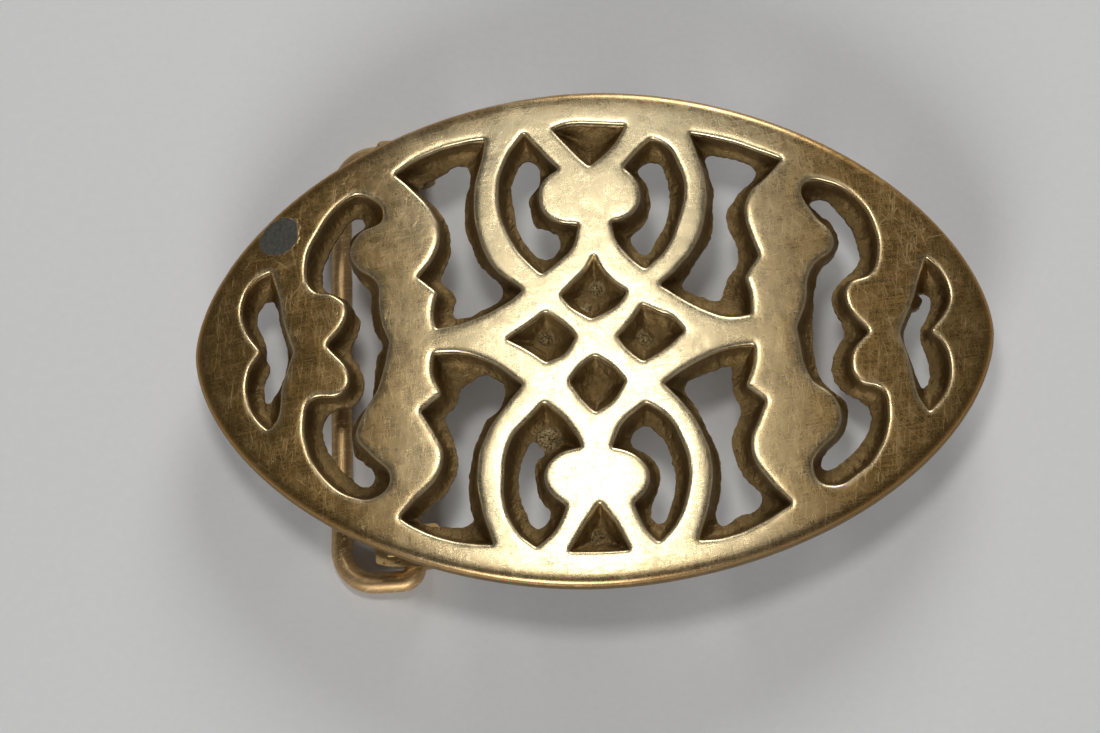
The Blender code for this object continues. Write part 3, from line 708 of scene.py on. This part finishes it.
def filled(faces, border):
    """True for each face on the left of the directed border edges, without crossing them."""
    ahead = {(int(a), int(b)) for a, b in border}
    sides = {}
    for number, (a, b, c) in enumerate(faces.tolist()):
        for side in ((a, b), (b, c), (c, a)):
            sides[side] = number
    found = np.zeros(len(faces), bool)
    waiting = [sides[side] for side in ahead if side in sides]
    while waiting:
        number = waiting.pop()
        if found[number]:
            continue
        found[number] = True
        a, b, c = faces[number].tolist()
        for side in ((a, b), (b, c), (c, a)):
            other = sides.get((side[1], side[0]))
            if side not in ahead and other is not None and not found[other]:
                waiting.append(other)
    return found


def store(mesh, name, values):
    layer = mesh.attributes.new(name, "FLOAT", "POINT")
    layer.data.foreach_set("value", np.asarray(values, np.float32))


def new_object(name, mesh, material, body, nodes, sharp=50):
    """A finished piece: it rides on its body and stands for its CAD nodes."""
    obj = bpy.data.objects.new(name, mesh)
    bpy.context.scene.collection.objects.link(obj)
    mesh.materials.append(material)
    mesh.shade_smooth()
    mesh.set_sharp_from_angle(angle=math.radians(sharp))
    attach(obj, body)
    if nodes:
        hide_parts(*nodes)
    return obj


def mesh_from(name, points, faces):
    """A mesh from points in millimetres, with its normals facing out."""
    mesh = bpy.data.meshes.new(name)
    mesh.from_pydata((points * MM).tolist(), [], [list(face) for face in faces])
    form = bmesh.new()
    form.from_mesh(mesh)
    bmesh.ops.recalc_face_normals(form, faces=form.faces)
    form.to_mesh(mesh)
    form.free()
    return mesh


def make_face_plate():
    points, faces, rim_edges, hole_edges, loops = make_plate_surface()
    points, faces = add_back(points, faces, np.vstack([rim_edges, hole_edges]))
    flat = points[:, :2].copy()
    lip, _ = Outlines(loops).signed(flat)
    rim, _ = Outlines([plate_outline(RIM_SPACING)]).distance(flat)
    depth = -points[:, 2]
    points = points.copy()
    points[:, 2] += CROWN_Z - points[:, 0] ** 2 / (2 * BOW_RADIUS)
    mesh = mesh_from("face_plate_cast", points, faces)
    store(mesh, "depth", depth)
    store(mesh, "lip", np.clip(lip, -4.0, 3.0))
    store(mesh, "rim", np.clip(rim, 0.0, 12.0))
    return new_object(
        "face_plate_cast", mesh, face_brass(), "buckle", ["face_plate"], 60
    )


# --------------------
# Bail, lugs and prong
# --------------------

WIRE_RADIUS = 1.1
BAIL_HALF_WIDTH = 23.2
BAIL_REACH = 8.0
BAIL_CORNER = 3.7
PIN_CORNER = 1.5
PIN_END_Y = 19.2
PIVOT_X = -19.0
EYE_RADIUS = 2.4
EYE_HOLE_RADIUS = 1.3
LUG_INNER_Y = 19.8
LUG_THICKNESS = 1.95
LUG_HALF_ROOT = 2.3
PRONG_FOOT_X = 18.8
PRONG_TIP_X = 20.8
PRONG_FOOT_RADIUS = 2.0
PRONG_RADIUS = 1.45
PRONG_SLOPE_TOP = 0.85
PRONG_SIDES = 36
WIRE_SIDES = 28
WIRE_SPACING = 0.3
WIRE_END_ROUND = 0.45
WIRE_UNEVEN = 0.012
WIRE_WAVE = 0.035
INTO_PLATE = 0.25
EAR_ROUND = 0.22
WELD = 0.00001

# The braze's fillet: how far it spreads from the root at each height below the plate's back.
BRAZE_RINGS = [
    (1.25, 0.12), (1.0, 0.02), (0.62, -0.14), (0.34, -0.36), (0.14, -0.66), (0.0, -1.05), (-0.3, -1.1),
]
BRAZE_SIDES = 56
# Radius against height at the prong's rounded end, and against depth below the back at its foot.
PRONG_FOOT = [(-0.25, PRONG_FOOT_RADIUS), (0.3, PRONG_FOOT_RADIUS), (0.8, 1.72), (1.5, PRONG_RADIUS)]
PRONG_END = [(0.6, PRONG_RADIUS), (0.36, 1.4), (0.16, 1.27), (0.04, 1.1), (0.0, 0.9)]
PRONG_FLAT = 0.4
PRONG_LEVELS = 22


def back_z(x):
    return CROWN_Z - THICKNESS - x * x / (2 * BOW_RADIUS)


def arc(centre, radius, start, end, steps):
    points = []
    for step in range(steps + 1):
        angle = math.radians(start + (end - start) * step / steps)
        points.append((centre[0] + radius * math.cos(angle), centre[1] + radius * math.sin(angle)))
    return points


def spaced(path, spacing):
    """Even steps along an open path in three dimensions."""
    path = np.asarray(path, float)
    along = np.concatenate([[0.0], np.cumsum(np.linalg.norm(np.diff(path, axis=0), axis=1))])
    at = np.linspace(0.0, along[-1], int(along[-1] / spacing) + 1)
    return np.column_stack([np.interp(at, along, path[:, axis]) for axis in range(3)]), at


def ring_faces(rings, sides):
    """Quads between rings of points that follow each other."""
    faces = []
    for ring in range(rings - 1):
        for step in range(sides):
            a = ring * sides + step
            b = ring * sides + (step + 1) % sides
            faces.append((a, b, b + sides, a + sides))
    return faces


def capped_rings(rings, sides):
    """As ring_faces, with one face over each end."""
    last = (rings - 1) * sides
    return ring_faces(rings, sides) + [tuple(range(sides)), tuple(range(last, last + sides))]


def tube(path, radii, sides, seed, uneven):
    """Points and faces of a closed round bar along the path."""
    along = np.gradient(path, axis=0)
    along /= np.linalg.norm(along, axis=1)[:, None]
    side = np.cross(along[0], [0.0, 0.0, 1.0])
    points = []
    for centre, ahead, radius in zip(path, along, radii):
        side = side - ahead * np.dot(side, ahead)
        side /= np.linalg.norm(side)
        up = np.cross(ahead, side)
        for step in range(sides):
            angle = 2 * math.pi * step / sides
            points.append(centre + radius * (math.cos(angle) * side + math.sin(angle) * up))
    points = np.array(points)
    middle = np.repeat(path, sides, axis=0)
    bump = uneven * wobble(points, 1.3, seed, points[:, 2])
    points += (points - middle) * bump[:, None] / np.repeat(radii, sides)[:, None]
    rings = len(path)
    faces = ring_faces(rings, sides)
    points = np.vstack([points, path[0], path[-1]])
    for step in range(sides):
        following = (step + 1) % sides
        faces.append((following, step, rings * sides))
        last = (rings - 1) * sides
        faces.append((last + step, last + following, rings * sides + 1))
    return points, faces


def make_bail():
    """One bent wire, turned about its pins until its bar lies on the ground."""
    pin_bend = arc((-PIN_CORNER, BAIL_HALF_WIDTH - PIN_CORNER), PIN_CORNER, 0, 90, 14)
    centre = (-BAIL_REACH + BAIL_CORNER, BAIL_HALF_WIDTH - BAIL_CORNER)
    upper = [(0.0, PIN_END_Y), *pin_bend, *arc(centre, BAIL_CORNER, 90, 180, 24)]
    route = upper + [(x, -y) for x, y in reversed(upper)]
    path, at = spaced([(x, y, 0.0) for x, y in route], WIRE_SPACING)
    from_end = np.minimum(at, at[-1] - at)
    into_end = np.clip(1 - from_end / WIRE_END_ROUND, 0, 1)
    radii = WIRE_RADIUS * np.sqrt(np.clip(1 - into_end**2 * 0.75, 0.05, 1))
    path[:, 2] += WIRE_WAVE * np.sin(path[:, 1] * 0.21 + 0.8) * np.clip(from_end / 6, 0, 1)
    points, faces = tube(path, radii, WIRE_SIDES, 4.0, WIRE_UNEVEN)
    lean = math.asin((EYE_RADIUS - WIRE_RADIUS) / BAIL_REACH)
    x = points[:, 0] * math.cos(lean) - points[:, 2] * math.sin(lean)
    z = points[:, 0] * math.sin(lean) + points[:, 2] * math.cos(lean)
    placed = np.column_stack([x + PIVOT_X, points[:, 1], np.maximum(z + EYE_RADIUS, 0.0)])
    mesh = mesh_from("bail_wire", placed, faces)
    return new_object("bail_wire", mesh, wire_brass(), "bail", ["bail"], 60)


def curve_solid(name, loops, depth, rounding):
    """A flat outline with holes, extruded along Z to the depth, with rounded edges."""
    curve = bpy.data.curves.new(name, "CURVE")
    curve.dimensions = "2D"
    curve.fill_mode = "BOTH"
    curve.extrude = MM * (depth / 2 - rounding)
    curve.bevel_depth = MM * rounding
    curve.bevel_resolution = 3
    curve.offset = -MM * rounding
    for loop in loops:
        spline = curve.splines.new("POLY")
        spline.points.add(len(loop) - 1)
        spline.use_cyclic_u = True
        for slot, (x, y) in zip(spline.points, loop):
            slot.co = (MM * x, MM * y, 0.0, 1.0)
    mesh = evaluated_mesh(curve)
    form = bmesh.new()
    form.from_mesh(mesh)
    bmesh.ops.remove_doubles(form, verts=form.verts, dist=WELD)
    bmesh.ops.recalc_face_normals(form, faces=form.faces)
    form.to_mesh(mesh)
    form.free()
    return mesh


def make_lug(name, side):
    """An eyed ear whose root reaches into the plate's back."""
    lean = math.degrees(math.asin((LUG_HALF_ROOT - EYE_RADIUS) / EYE_RADIUS))
    root = [
        (across, back_z(PIVOT_X + across) + INTO_PLATE - EYE_RADIUS)
        for across in (LUG_HALF_ROOT, -LUG_HALF_ROOT)
    ]
    outline = root + arc((0.0, 0.0), EYE_RADIUS, 180 + lean, 360 - lean, 40)
    hole = arc((0.0, 0.0), EYE_HOLE_RADIUS, 0, 350, 35)
    mesh = curve_solid(name, [outline, hole], LUG_THICKNESS, EAR_ROUND)
    turn = Matrix.Rotation(math.radians(90), 4, "X")
    place = Matrix.Translation(
        (MM * PIVOT_X, MM * side * (LUG_INNER_Y + LUG_THICKNESS / 2), MM * EYE_RADIUS)
    )
    mesh.transform(place @ turn)
    return mesh


def braze(centre, half_x, half_y, squareness, seed):
    """The fillet of filler metal round the root of a piece that joins the plate's back."""
    sides = BRAZE_SIDES
    points = []
    for spread, drop in BRAZE_RINGS:
        for step in range(sides):
            angle = 2 * math.pi * step / sides
            spot = Vector((math.cos(angle) * 1.6, math.sin(angle) * 1.6, seed))
            lump = 1 + 0.22 * noise.noise(spot)
            reach = spread * lump
            x = centre[0] + (half_x + reach) * power(math.cos(angle), 2 / squareness)
            y = centre[1] + (half_y + reach) * power(math.sin(angle), 2 / squareness)
            points.append((x, y, back_z(x) + drop * lump))
    return np.array(points), capped_rings(len(BRAZE_RINGS), sides)


def add_cast_piece(name, points, faces, material, nodes):
    mesh = mesh_from(name, points, faces)
    new_object(name, mesh, material, "buckle", nodes, 60)


def make_lugs(material):
    for name, side in (("bail_lug_upper", 1), ("bail_lug_lower", -1)):
        ear = make_lug(name + "_ear", side)
        new_object(name + "_ear", ear, material, "buckle", [name], 40)
        centre = (PIVOT_X, side * (LUG_INNER_Y + LUG_THICKNESS / 2 - 0.15))
        half_x, half_y = LUG_HALF_ROOT - 0.05, LUG_THICKNESS / 2 - 0.1
        points, faces = braze(centre, half_x, half_y, 5.0, side)
        add_cast_piece(name + "_braze", points, faces, material, [])


def make_prong(material):
    foot = back_z(PRONG_FOOT_X)
    slope_top = PRONG_SLOPE_TOP * foot
    shank_top, shank_end = foot - PRONG_FOOT[-1][0], PRONG_END[0][0]
    stations = [(foot - depth, radius) for depth, radius in PRONG_FOOT] + PRONG_END
    heights = np.array([z for z, _ in stations])
    between = np.linspace(shank_end, shank_top, PRONG_LEVELS)
    levels = np.append(np.unique(np.concatenate([heights, between]))[::-1], 0.0)
    radii = np.interp(levels, heights[::-1], [radius for _, radius in stations][::-1])
    radii[-1] = PRONG_FLAT
    share = np.clip((slope_top - levels) / (slope_top - shank_end), 0.0, 1.0)
    x = PRONG_FOOT_X + (PRONG_TIP_X - PRONG_FOOT_X) * share * share * (3 - 2 * share)
    points, faces = prong_solid(np.column_stack([x, np.zeros(len(x)), levels]), radii)
    add_cast_piece("prong_post", points, faces, material, ["prong"])
    root = PRONG_FOOT_RADIUS - 0.05
    points, faces = braze((PRONG_FOOT_X, 0.0), root, root, 2.0, 5.0)
    add_cast_piece("prong_braze", points, faces, material, [])


def prong_solid(path, radii):
    """A post of level rings, which keeps its tip flat on the ground."""
    sides = PRONG_SIDES
    points = []
    for (x, y, z), radius in zip(path, radii):
        for step in range(sides):
            angle = 2 * math.pi * step / sides
            points.append((x + radius * math.cos(angle), y + radius * math.sin(angle), z))
    points = np.array(points)
    middle = np.repeat(path, sides, axis=0)
    bump = 0.03 * wobble(points, 1.6, 13.0, points[:, 2]) / np.repeat(radii, sides)
    points += (points - middle) * bump[:, None]
    return points, capped_rings(len(path), sides)


# --------------------
# Materials. Lengths in their textures are in millimetres.
# --------------------


class Finish:
    """One material and short ways to add nodes to it."""

    def __init__(self, name, metallic=1.0):
        self.material = bpy.data.materials.new(name)
        self.material.use_nodes = True
        self.nodes = self.material.node_tree.nodes
        self.links = self.material.node_tree.links
        self.shader = self.nodes["Principled BSDF"]
        self.shader.inputs["Metallic"].default_value = metallic
        place = self.nodes.new("ShaderNodeTexCoord").outputs["Object"]
        self.place = self.vector("SCALE", place, scale=1000.0)

    def fill(self, socket, value):
        if isinstance(value, bpy.types.NodeSocket):
            self.links.new(value, socket)
        elif isinstance(value, tuple) and len(value) == 3 and len(socket.default_value) == 4:
            socket.default_value = (*value, 1.0)
        else:
            socket.default_value = value

    def math(self, operation, first, second=0.0):
        node = self.nodes.new("ShaderNodeMath")
        node.operation = operation
        self.fill(node.inputs[0], first)
        self.fill(node.inputs[1], second)
        return node.outputs[0]

    def share(self, value, amount):
        return self.math("MULTIPLY", value, amount)

    def total(self, *terms):
        made = terms[0]
        for term in terms[1:]:
            made = self.math("ADD", made, term)
        return made

    def weighted(self, *layers):
        """The sum of (value, amount) pairs, each multiplied out."""
        return self.total(*[self.share(value, amount) for value, amount in layers])

    def vector(self, operation, first, second=(0.0, 0.0, 0.0), scale=1.0):
        node = self.nodes.new("ShaderNodeVectorMath")
        node.operation = operation
        self.fill(node.inputs[0], first)
        if operation == "SCALE":
            self.fill(node.inputs["Scale"], scale)
        else:
            self.fill(node.inputs[1], second)
        return node.outputs["Value" if operation in ("LENGTH", "DISTANCE") else "Vector"]

    def attribute(self, name):
        node = self.nodes.new("ShaderNodeAttribute")
        node.attribute_name = name
        return node.outputs["Fac"]

    def step(self, value, low, high, to_low=0.0, to_high=1.0):
        """Smooth change from to_low to to_high as value goes from low to high."""
        node = self.nodes.new("ShaderNodeMapRange")
        node.interpolation_type = "SMOOTHSTEP"
        for slot, number in zip(node.inputs, (value, low, high, to_low, to_high)):
            self.fill(slot, number)
        return node.outputs["Result"]

    def turned(self, angle, stretch, shift):
        """Texture position turned about Z by the angle and divided by the stretch."""
        node = self.nodes.new("ShaderNodeMapping")
        node.vector_type = "TEXTURE"
        self.fill(node.inputs["Vector"], self.place)
        node.inputs["Location"].default_value = shift
        node.inputs["Rotation"].default_value = (0.0, 0.0, math.radians(angle))
        node.inputs["Scale"].default_value = stretch
        return node.outputs["Vector"]

    def noise(self, size, detail=2.0, rough=0.5, place=None, warp=0.0):
        node = self.nodes.new("ShaderNodeTexNoise")
        self.fill(node.inputs["Vector"], place or self.place)
        node.inputs["Scale"].default_value = 1.0 / size
        node.inputs["Detail"].default_value = detail
        node.inputs["Roughness"].default_value = rough
        node.inputs["Distortion"].default_value = warp
        return node.outputs["Fac"]

    def cells(self, size):
        node = self.nodes.new("ShaderNodeTexVoronoi")
        self.fill(node.inputs["Vector"], self.place)
        node.inputs["Scale"].default_value = 1.0 / size
        return node.outputs["Distance"]

    def mix(self, share, first, second):
        """Colour mix, as mix_value is for numbers."""
        node = self.nodes.new("ShaderNodeMix")
        node.data_type = "RGBA"
        self.fill(node.inputs["Factor"], share)
        self.fill(node.inputs[6], first)
        self.fill(node.inputs[7], second)
        return node.outputs[2]

    def mix_value(self, share, first, second):
        node = self.nodes.new("ShaderNodeMix")
        self.fill(node.inputs["Factor"], share)
        self.fill(node.inputs[2], first)
        self.fill(node.inputs[3], second)
        return node.outputs[0]

    def scratches(self, angle, length, width, cover, shift):
        """Thin streaks of about the length and width; cover is how much noise counts as a scratch."""
        place = self.turned(angle, (length, width, 3.0), (shift, 0.7 * shift, 0.0))
        streak = self.noise(1.0, detail=0.0, place=place, warp=0.06)
        return self.step(streak, 0.74 - cover, 0.80 - cover)

    def finish(self, color, roughness, height, metallic=None):
        """Sets the shader's colour, roughness and bump, whose height is in millimetres."""
        bump = self.nodes.new("ShaderNodeBump")
        bump.inputs["Distance"].default_value = MM
        bump.inputs["Strength"].default_value = 1.0
        self.fill(bump.inputs["Height"], height)
        self.links.new(bump.outputs["Normal"], self.shader.inputs["Normal"])
        self.fill(self.shader.inputs["Base Color"], color)
        self.fill(self.shader.inputs["Roughness"], roughness)
        if metallic is not None:
            self.fill(self.shader.inputs["Metallic"], metallic)
        return self.material


STAIN = (-32.15, 12.05)
SAND = (-4.5, -10.3, 1.25)
SPARKS = [(0.77, 5.23, 0.75), (-0.3, 3.2, 0.5), (-4.63, 0.12, 0.75), (5.57, -0.14, 0.8), (0.39, -20.6, 0.7)]

# Scratches and finer polishing hairs: angle, length, width, cover and shift.
SCRATCHES = [
    (84, 4.2, 0.055, 0.030, 3.0), (12, 2.8, 0.05, 0.015, 17.0), (-38, 2.4, 0.05, 0.010, 31.0),
    (52, 2.2, 0.05, 0.015, 47.0), (-74, 3.6, 0.06, 0.025, 59.0),
]
HAIRS = [(8, 2.4, 0.04, 0.13, 71.0), (-86, 1.8, 0.04, 0.10, 83.0), (-30, 1.2, 0.04, 0.08, 97.0)]

# The pale middle colour paints in a sheen.
PALE_SHEEN_BRASS = (0.66, 0.555, 0.345)
BROWN_BRASS = (0.41, 0.245, 0.078)
DULL_BRASS = (0.30, 0.20, 0.085)
# Scratch colour: fresh brass with a painted glint.
FRESH_GLINT_BRASS = (0.95, 0.80, 0.50)
# Lip colour: worn brass with a painted highlight.
WORN_HIGHLIT_BRASS = (0.88, 0.72, 0.44)
RIM_TONE = (0.40, 0.195, 0.055)
WALL_DARK = (0.12, 0.072, 0.027)
WALL_LIGHT = (0.34, 0.23, 0.095)
LEDGE_TONE = (0.14, 0.095, 0.04)
CRUMB_DARK = (0.16, 0.10, 0.04)
# Light crumb colour: a painted glint.
CRUMB_GLINT = (0.90, 0.76, 0.44)
LEAD_DARK = (0.020, 0.023, 0.020)
LEAD_LIGHT = (0.13, 0.125, 0.10)


def streaks(finish, table):
    """All the scratches of a table together, from 0 to 1."""
    return finish.math("MINIMUM", finish.total(*[finish.scratches(*row) for row in table]), 1.0)


def face_color(finish, patch, grain, scratches_and_glints):
    """Pale in the middle as a painted sheen, brown towards the ends as tarnish and painted shade, brown at
    the rim, and bright along lips and scratches, partly wear and partly painted highlight.
    """
    lip = finish.attribute("lip")
    rim = finish.attribute("rim")
    along = finish.nodes.new("ShaderNodeSeparateXYZ")
    finish.fill(along.inputs[0], finish.place)
    off_centre = finish.math("ABSOLUTE", along.outputs["X"])
    # Browner towards the ends, partly tarnish and partly painted shade where the bowed face turns from the
    # light.
    ends = finish.step(finish.total(off_centre, finish.share(patch, 8.0)), 11.0, 33.0)
    near_rim = finish.step(finish.total(rim, finish.share(patch, 2.0)), 1.0, 4.0, 0.6, 0.0)
    color = finish.mix(finish.math("MAXIMUM", ends, near_rim), PALE_SHEEN_BRASS, BROWN_BRASS)
    color = finish.mix(finish.share(grain, 0.22), color, DULL_BRASS)
    # Scratches are painted paler, as fresh brass and as painted glints, and less so towards the ends.
    scratch_glint_share = finish.mix_value(ends, 0.6, 0.28)
    color = finish.mix(finish.share(scratches_and_glints, scratch_glint_share), color, FRESH_GLINT_BRASS)
    # Lips are painted paler, partly wear and partly a painted highlight on their rounded edges.
    color = finish.mix(finish.share(finish.step(lip, -0.75, -0.1), 0.6), color, WORN_HIGHLIT_BRASS)
    toning = finish.step(finish.total(rim, finish.share(patch, 1.5)), 0.2, 1.9, 0.75, 0.0)
    return finish.mix(toning, color, RIM_TONE)


def wall_color(finish, depth, wall_patch):
    wall = finish.mix(wall_patch, WALL_DARK, WALL_LIGHT)
    return finish.mix(finish.share(finish.step(depth, 2.2, 2.75), 0.3), wall, LEDGE_TONE)


def glinting_floor_spots(finish, depth, wall_patch):
    """Where the floors of some openings hold cast crumbs, painted bright as glints."""
    where = finish.vector("MULTIPLY", finish.place, (1.0, 1.0, 0.0))
    spots = []
    for x, y, radius in SPARKS + [SAND]:
        gap = finish.vector("DISTANCE", where, (x, y, 0.0))
        gap = finish.total(gap, finish.share(wall_patch, 0.5))
        spots.append(finish.step(gap, radius - 0.1, radius + 0.45, 1.0, 0.0))
    spark = spots[0]
    for spot in spots[1:]:
        spark = finish.math("MAXIMUM", spark, spot)
    return finish.share(spark, finish.step(depth, 1.3, 1.8))


def stained(finish):
    """Where the grey stain covers the brass, near one end of the rim."""
    turned = finish.turned(38, (1.22, 0.92, 1.0), (STAIN[0], STAIN[1], 0.0))
    gap = finish.vector("LENGTH", finish.vector("MULTIPLY", turned, (1.0, 1.0, 0.0)))
    gap = finish.total(gap, finish.share(finish.noise(1.3, 2.0), 0.9))
    return finish.step(gap, 2.2, 2.5, 1.0, 0.0)


def face_brass():
    finish = Finish("polished brass")
    depth = finish.attribute("depth")
    on_face = finish.step(depth, 0.35, 0.75, 1.0, 0.0)
    patch = finish.noise(7.0, 3.0)
    cloud = finish.noise(2.2, 3.0, 0.6)
    grain = finish.noise(0.14, 3.0, 0.7)
    specks = finish.step(finish.noise(0.24, 2.0, 0.6), 0.60, 0.72)
    wall_patch = finish.noise(0.9, 3.0, 0.6)
    crumbs = finish.noise(0.22, 3.0, 0.7)
    patchy = finish.step(cloud, 0.35, 0.65, 0.25, 1.0)
    scratches_and_glints = finish.share(streaks(finish, SCRATCHES), patchy)
    brushed = streaks(finish, HAIRS)
    spark = glinting_floor_spots(finish, depth, wall_patch)
    stain = stained(finish)

    face = face_color(finish, patch, grain, scratches_and_glints)
    color = finish.mix(on_face, wall_color(finish, depth, wall_patch), face)
    # The crumbs on these floors are painted bright, as glints.
    crumb_glint_color = finish.mix(finish.step(crumbs, 0.38, 0.62), CRUMB_DARK, CRUMB_GLINT)
    color = finish.mix(spark, color, crumb_glint_color)
    lead = finish.mix(finish.noise(0.35, 3.0, 0.7), LEAD_DARK, LEAD_LIGHT)
    color = finish.mix(stain, color, lead)

    rough = finish.total(
        0.19, finish.share(cloud, 0.09), finish.share(grain, 0.08), finish.share(specks, 0.05),
        finish.share(brushed, 0.13), finish.share(scratches_and_glints, 0.16),
    )
    rough = finish.mix_value(on_face, 0.55, rough)
    rough = finish.math("MAXIMUM", rough, finish.share(stain, 0.6))

    face_bumps = finish.weighted(
        (scratches_and_glints, -0.0022), (brushed, -0.0005), (grain, 0.0009), (patch, 0.10), (cloud, 0.02),
    )
    wall_bumps = finish.weighted(
        (wall_patch, 0.20), (finish.noise(0.25, 3.0, 0.6), 0.09), (finish.share(crumbs, spark), 0.45),
    )
    height = finish.mix_value(on_face, wall_bumps, face_bumps)
    pitting = finish.share(stain, finish.noise(0.4, 3.0))
    height = finish.total(height, finish.share(pitting, 0.12))
    metallic = finish.math("SUBTRACT", 1.0, finish.share(stain, 0.6))
    return finish.finish(color, rough, height, metallic)


def wire_brass():
    finish = Finish("drawn brass wire")
    drawn = finish.noise(1.0, 2.0, 0.6, finish.turned(0, (0.07, 5.0, 0.07), (0.0, 0.0, 0.0)))
    patch = finish.noise(1.8, 3.0)
    grain = finish.noise(0.2, 3.0, 0.6)
    nicks = finish.scratches(20, 1.2, 0.08, 0.10, 5.0)
    color = finish.mix(patch, (0.70, 0.47, 0.24), (0.52, 0.34, 0.15))
    color = finish.mix(finish.share(drawn, 0.4), color, (0.40, 0.25, 0.10))
    color = finish.mix(finish.share(nicks, 0.5), color, (0.90, 0.70, 0.42))
    rough = finish.total(0.32, finish.share(drawn, 0.14), finish.share(patch, 0.10))
    return finish.finish(color, rough, finish.weighted((drawn, 0.02), (grain, 0.008), (nicks, -0.015)))


def cast_brass():
    finish = Finish("cast brass")
    patch = finish.noise(1.6, 3.0)
    grain = finish.noise(0.3, 4.0, 0.65)
    pits = finish.step(finish.cells(0.6), 0.12, 0.3, 1.0, 0.0)
    color = finish.mix(patch, (0.46, 0.32, 0.14), (0.30, 0.19, 0.08))
    color = finish.mix(finish.share(grain, 0.5), color, (0.58, 0.43, 0.20))
    color = finish.mix(finish.share(pits, 0.6), color, (0.12, 0.07, 0.03))
    rough = finish.total(0.38, finish.share(grain, 0.2))
    return finish.finish(color, rough, finish.weighted((grain, 0.05), (patch, 0.05), (pits, -0.03)))


# --------------------
# Floor, light and camera
# --------------------

CAMERA_PLACE = (0.01223, -0.07397, 0.30338)
CAMERA_TILT = 13.664
CAMERA_YAW = 3.127
CAMERA_ROLL = -1.833
LENS = 96.48
FLOOR_HALF = 1.5
WORLD_SIDES = 0.30
WORLD_ABOVE = 0.07


def make_floor():
    mesh = bpy.data.meshes.new("floor")
    half = FLOOR_HALF
    corners = [(-half, -half, 0), (half, -half, 0), (half, half, 0), (-half, half, 0)]
    mesh.from_pydata(corners, [], [(0, 1, 2, 3)])
    floor = bpy.data.objects.new("floor", mesh)
    bpy.context.scene.collection.objects.link(floor)
    finish = Finish("pale floor", metallic=0.0)
    speck = finish.noise(0.8, 3.0)
    color = finish.mix(speck, (0.77, 0.77, 0.77), (0.82, 0.82, 0.815))
    mesh.materials.append(finish.finish(color, 0.7, finish.math("MULTIPLY", speck, 0.02)))


def area_light(name, place, target, size, watts, color=(1.0, 1.0, 1.0)):
    light = bpy.data.lights.new(name, "AREA")
    light.shape = "DISK"
    light.size = size
    light.energy = watts
    light.color = color
    obj = bpy.data.objects.new(name, light)
    obj.location = place
    obj.rotation_euler = (Vector(target) - Vector(place)).to_track_quat("-Z", "Y").to_euler()
    bpy.context.scene.collection.objects.link(obj)


def make_lights():
    centre = (0.0, 0.0, 0.01)
    # The small key stands where the middle of the bowed face throws it back to the camera.
    area_light("key", (-0.009, 0.044, 0.303), centre, 0.06, 0.19, (1.0, 0.985, 0.96))
    area_light("fill_front", (-0.12, -0.62, 0.34), centre, 0.35, 2.4)
    area_light("fill_back", (0.15, 0.64, 0.36), centre, 0.35, 2.2)


def make_world():
    """Soft light that is brighter from the sides than from above."""
    world = bpy.data.worlds.new("studio")
    world.use_nodes = True
    background = world.node_tree.nodes["Background"]
    background.inputs["Color"].default_value = (0.78, 0.80, 0.83, 1.0)
    links = world.node_tree.links
    direction = world.node_tree.nodes.new("ShaderNodeTexCoord")
    parts = world.node_tree.nodes.new("ShaderNodeSeparateXYZ")
    links.new(direction.outputs["Generated"], parts.inputs[0])
    strength = world.node_tree.nodes.new("ShaderNodeMapRange")
    strength.interpolation_type = "SMOOTHSTEP"
    for slot, number in zip(strength.inputs[1:5], (0.1, 0.75, WORLD_SIDES, WORLD_ABOVE)):
        slot.default_value = number
    links.new(parts.outputs["Z"], strength.inputs[0])
    links.new(strength.outputs["Result"], background.inputs["Strength"])
    bpy.context.scene.world = world


def make_camera():
    data = bpy.data.cameras.new("camera")
    data.lens = LENS
    data.sensor_width = 36.0
    data.clip_start = 0.01
    camera = bpy.data.objects.new("camera", data)
    camera.rotation_mode = "ZYX"
    camera.rotation_euler = [math.radians(a) for a in (CAMERA_TILT, CAMERA_YAW, CAMERA_ROLL)]
    camera.location = CAMERA_PLACE
    bpy.context.scene.collection.objects.link(camera)
    bpy.context.scene.camera = camera


make_face_plate()
make_bail()
cast = cast_brass()
make_lugs(cast)
make_prong(cast)
make_floor()
make_lights()
make_world()
make_camera()
bpy.context.scene.view_settings.view_transform = "Standard"
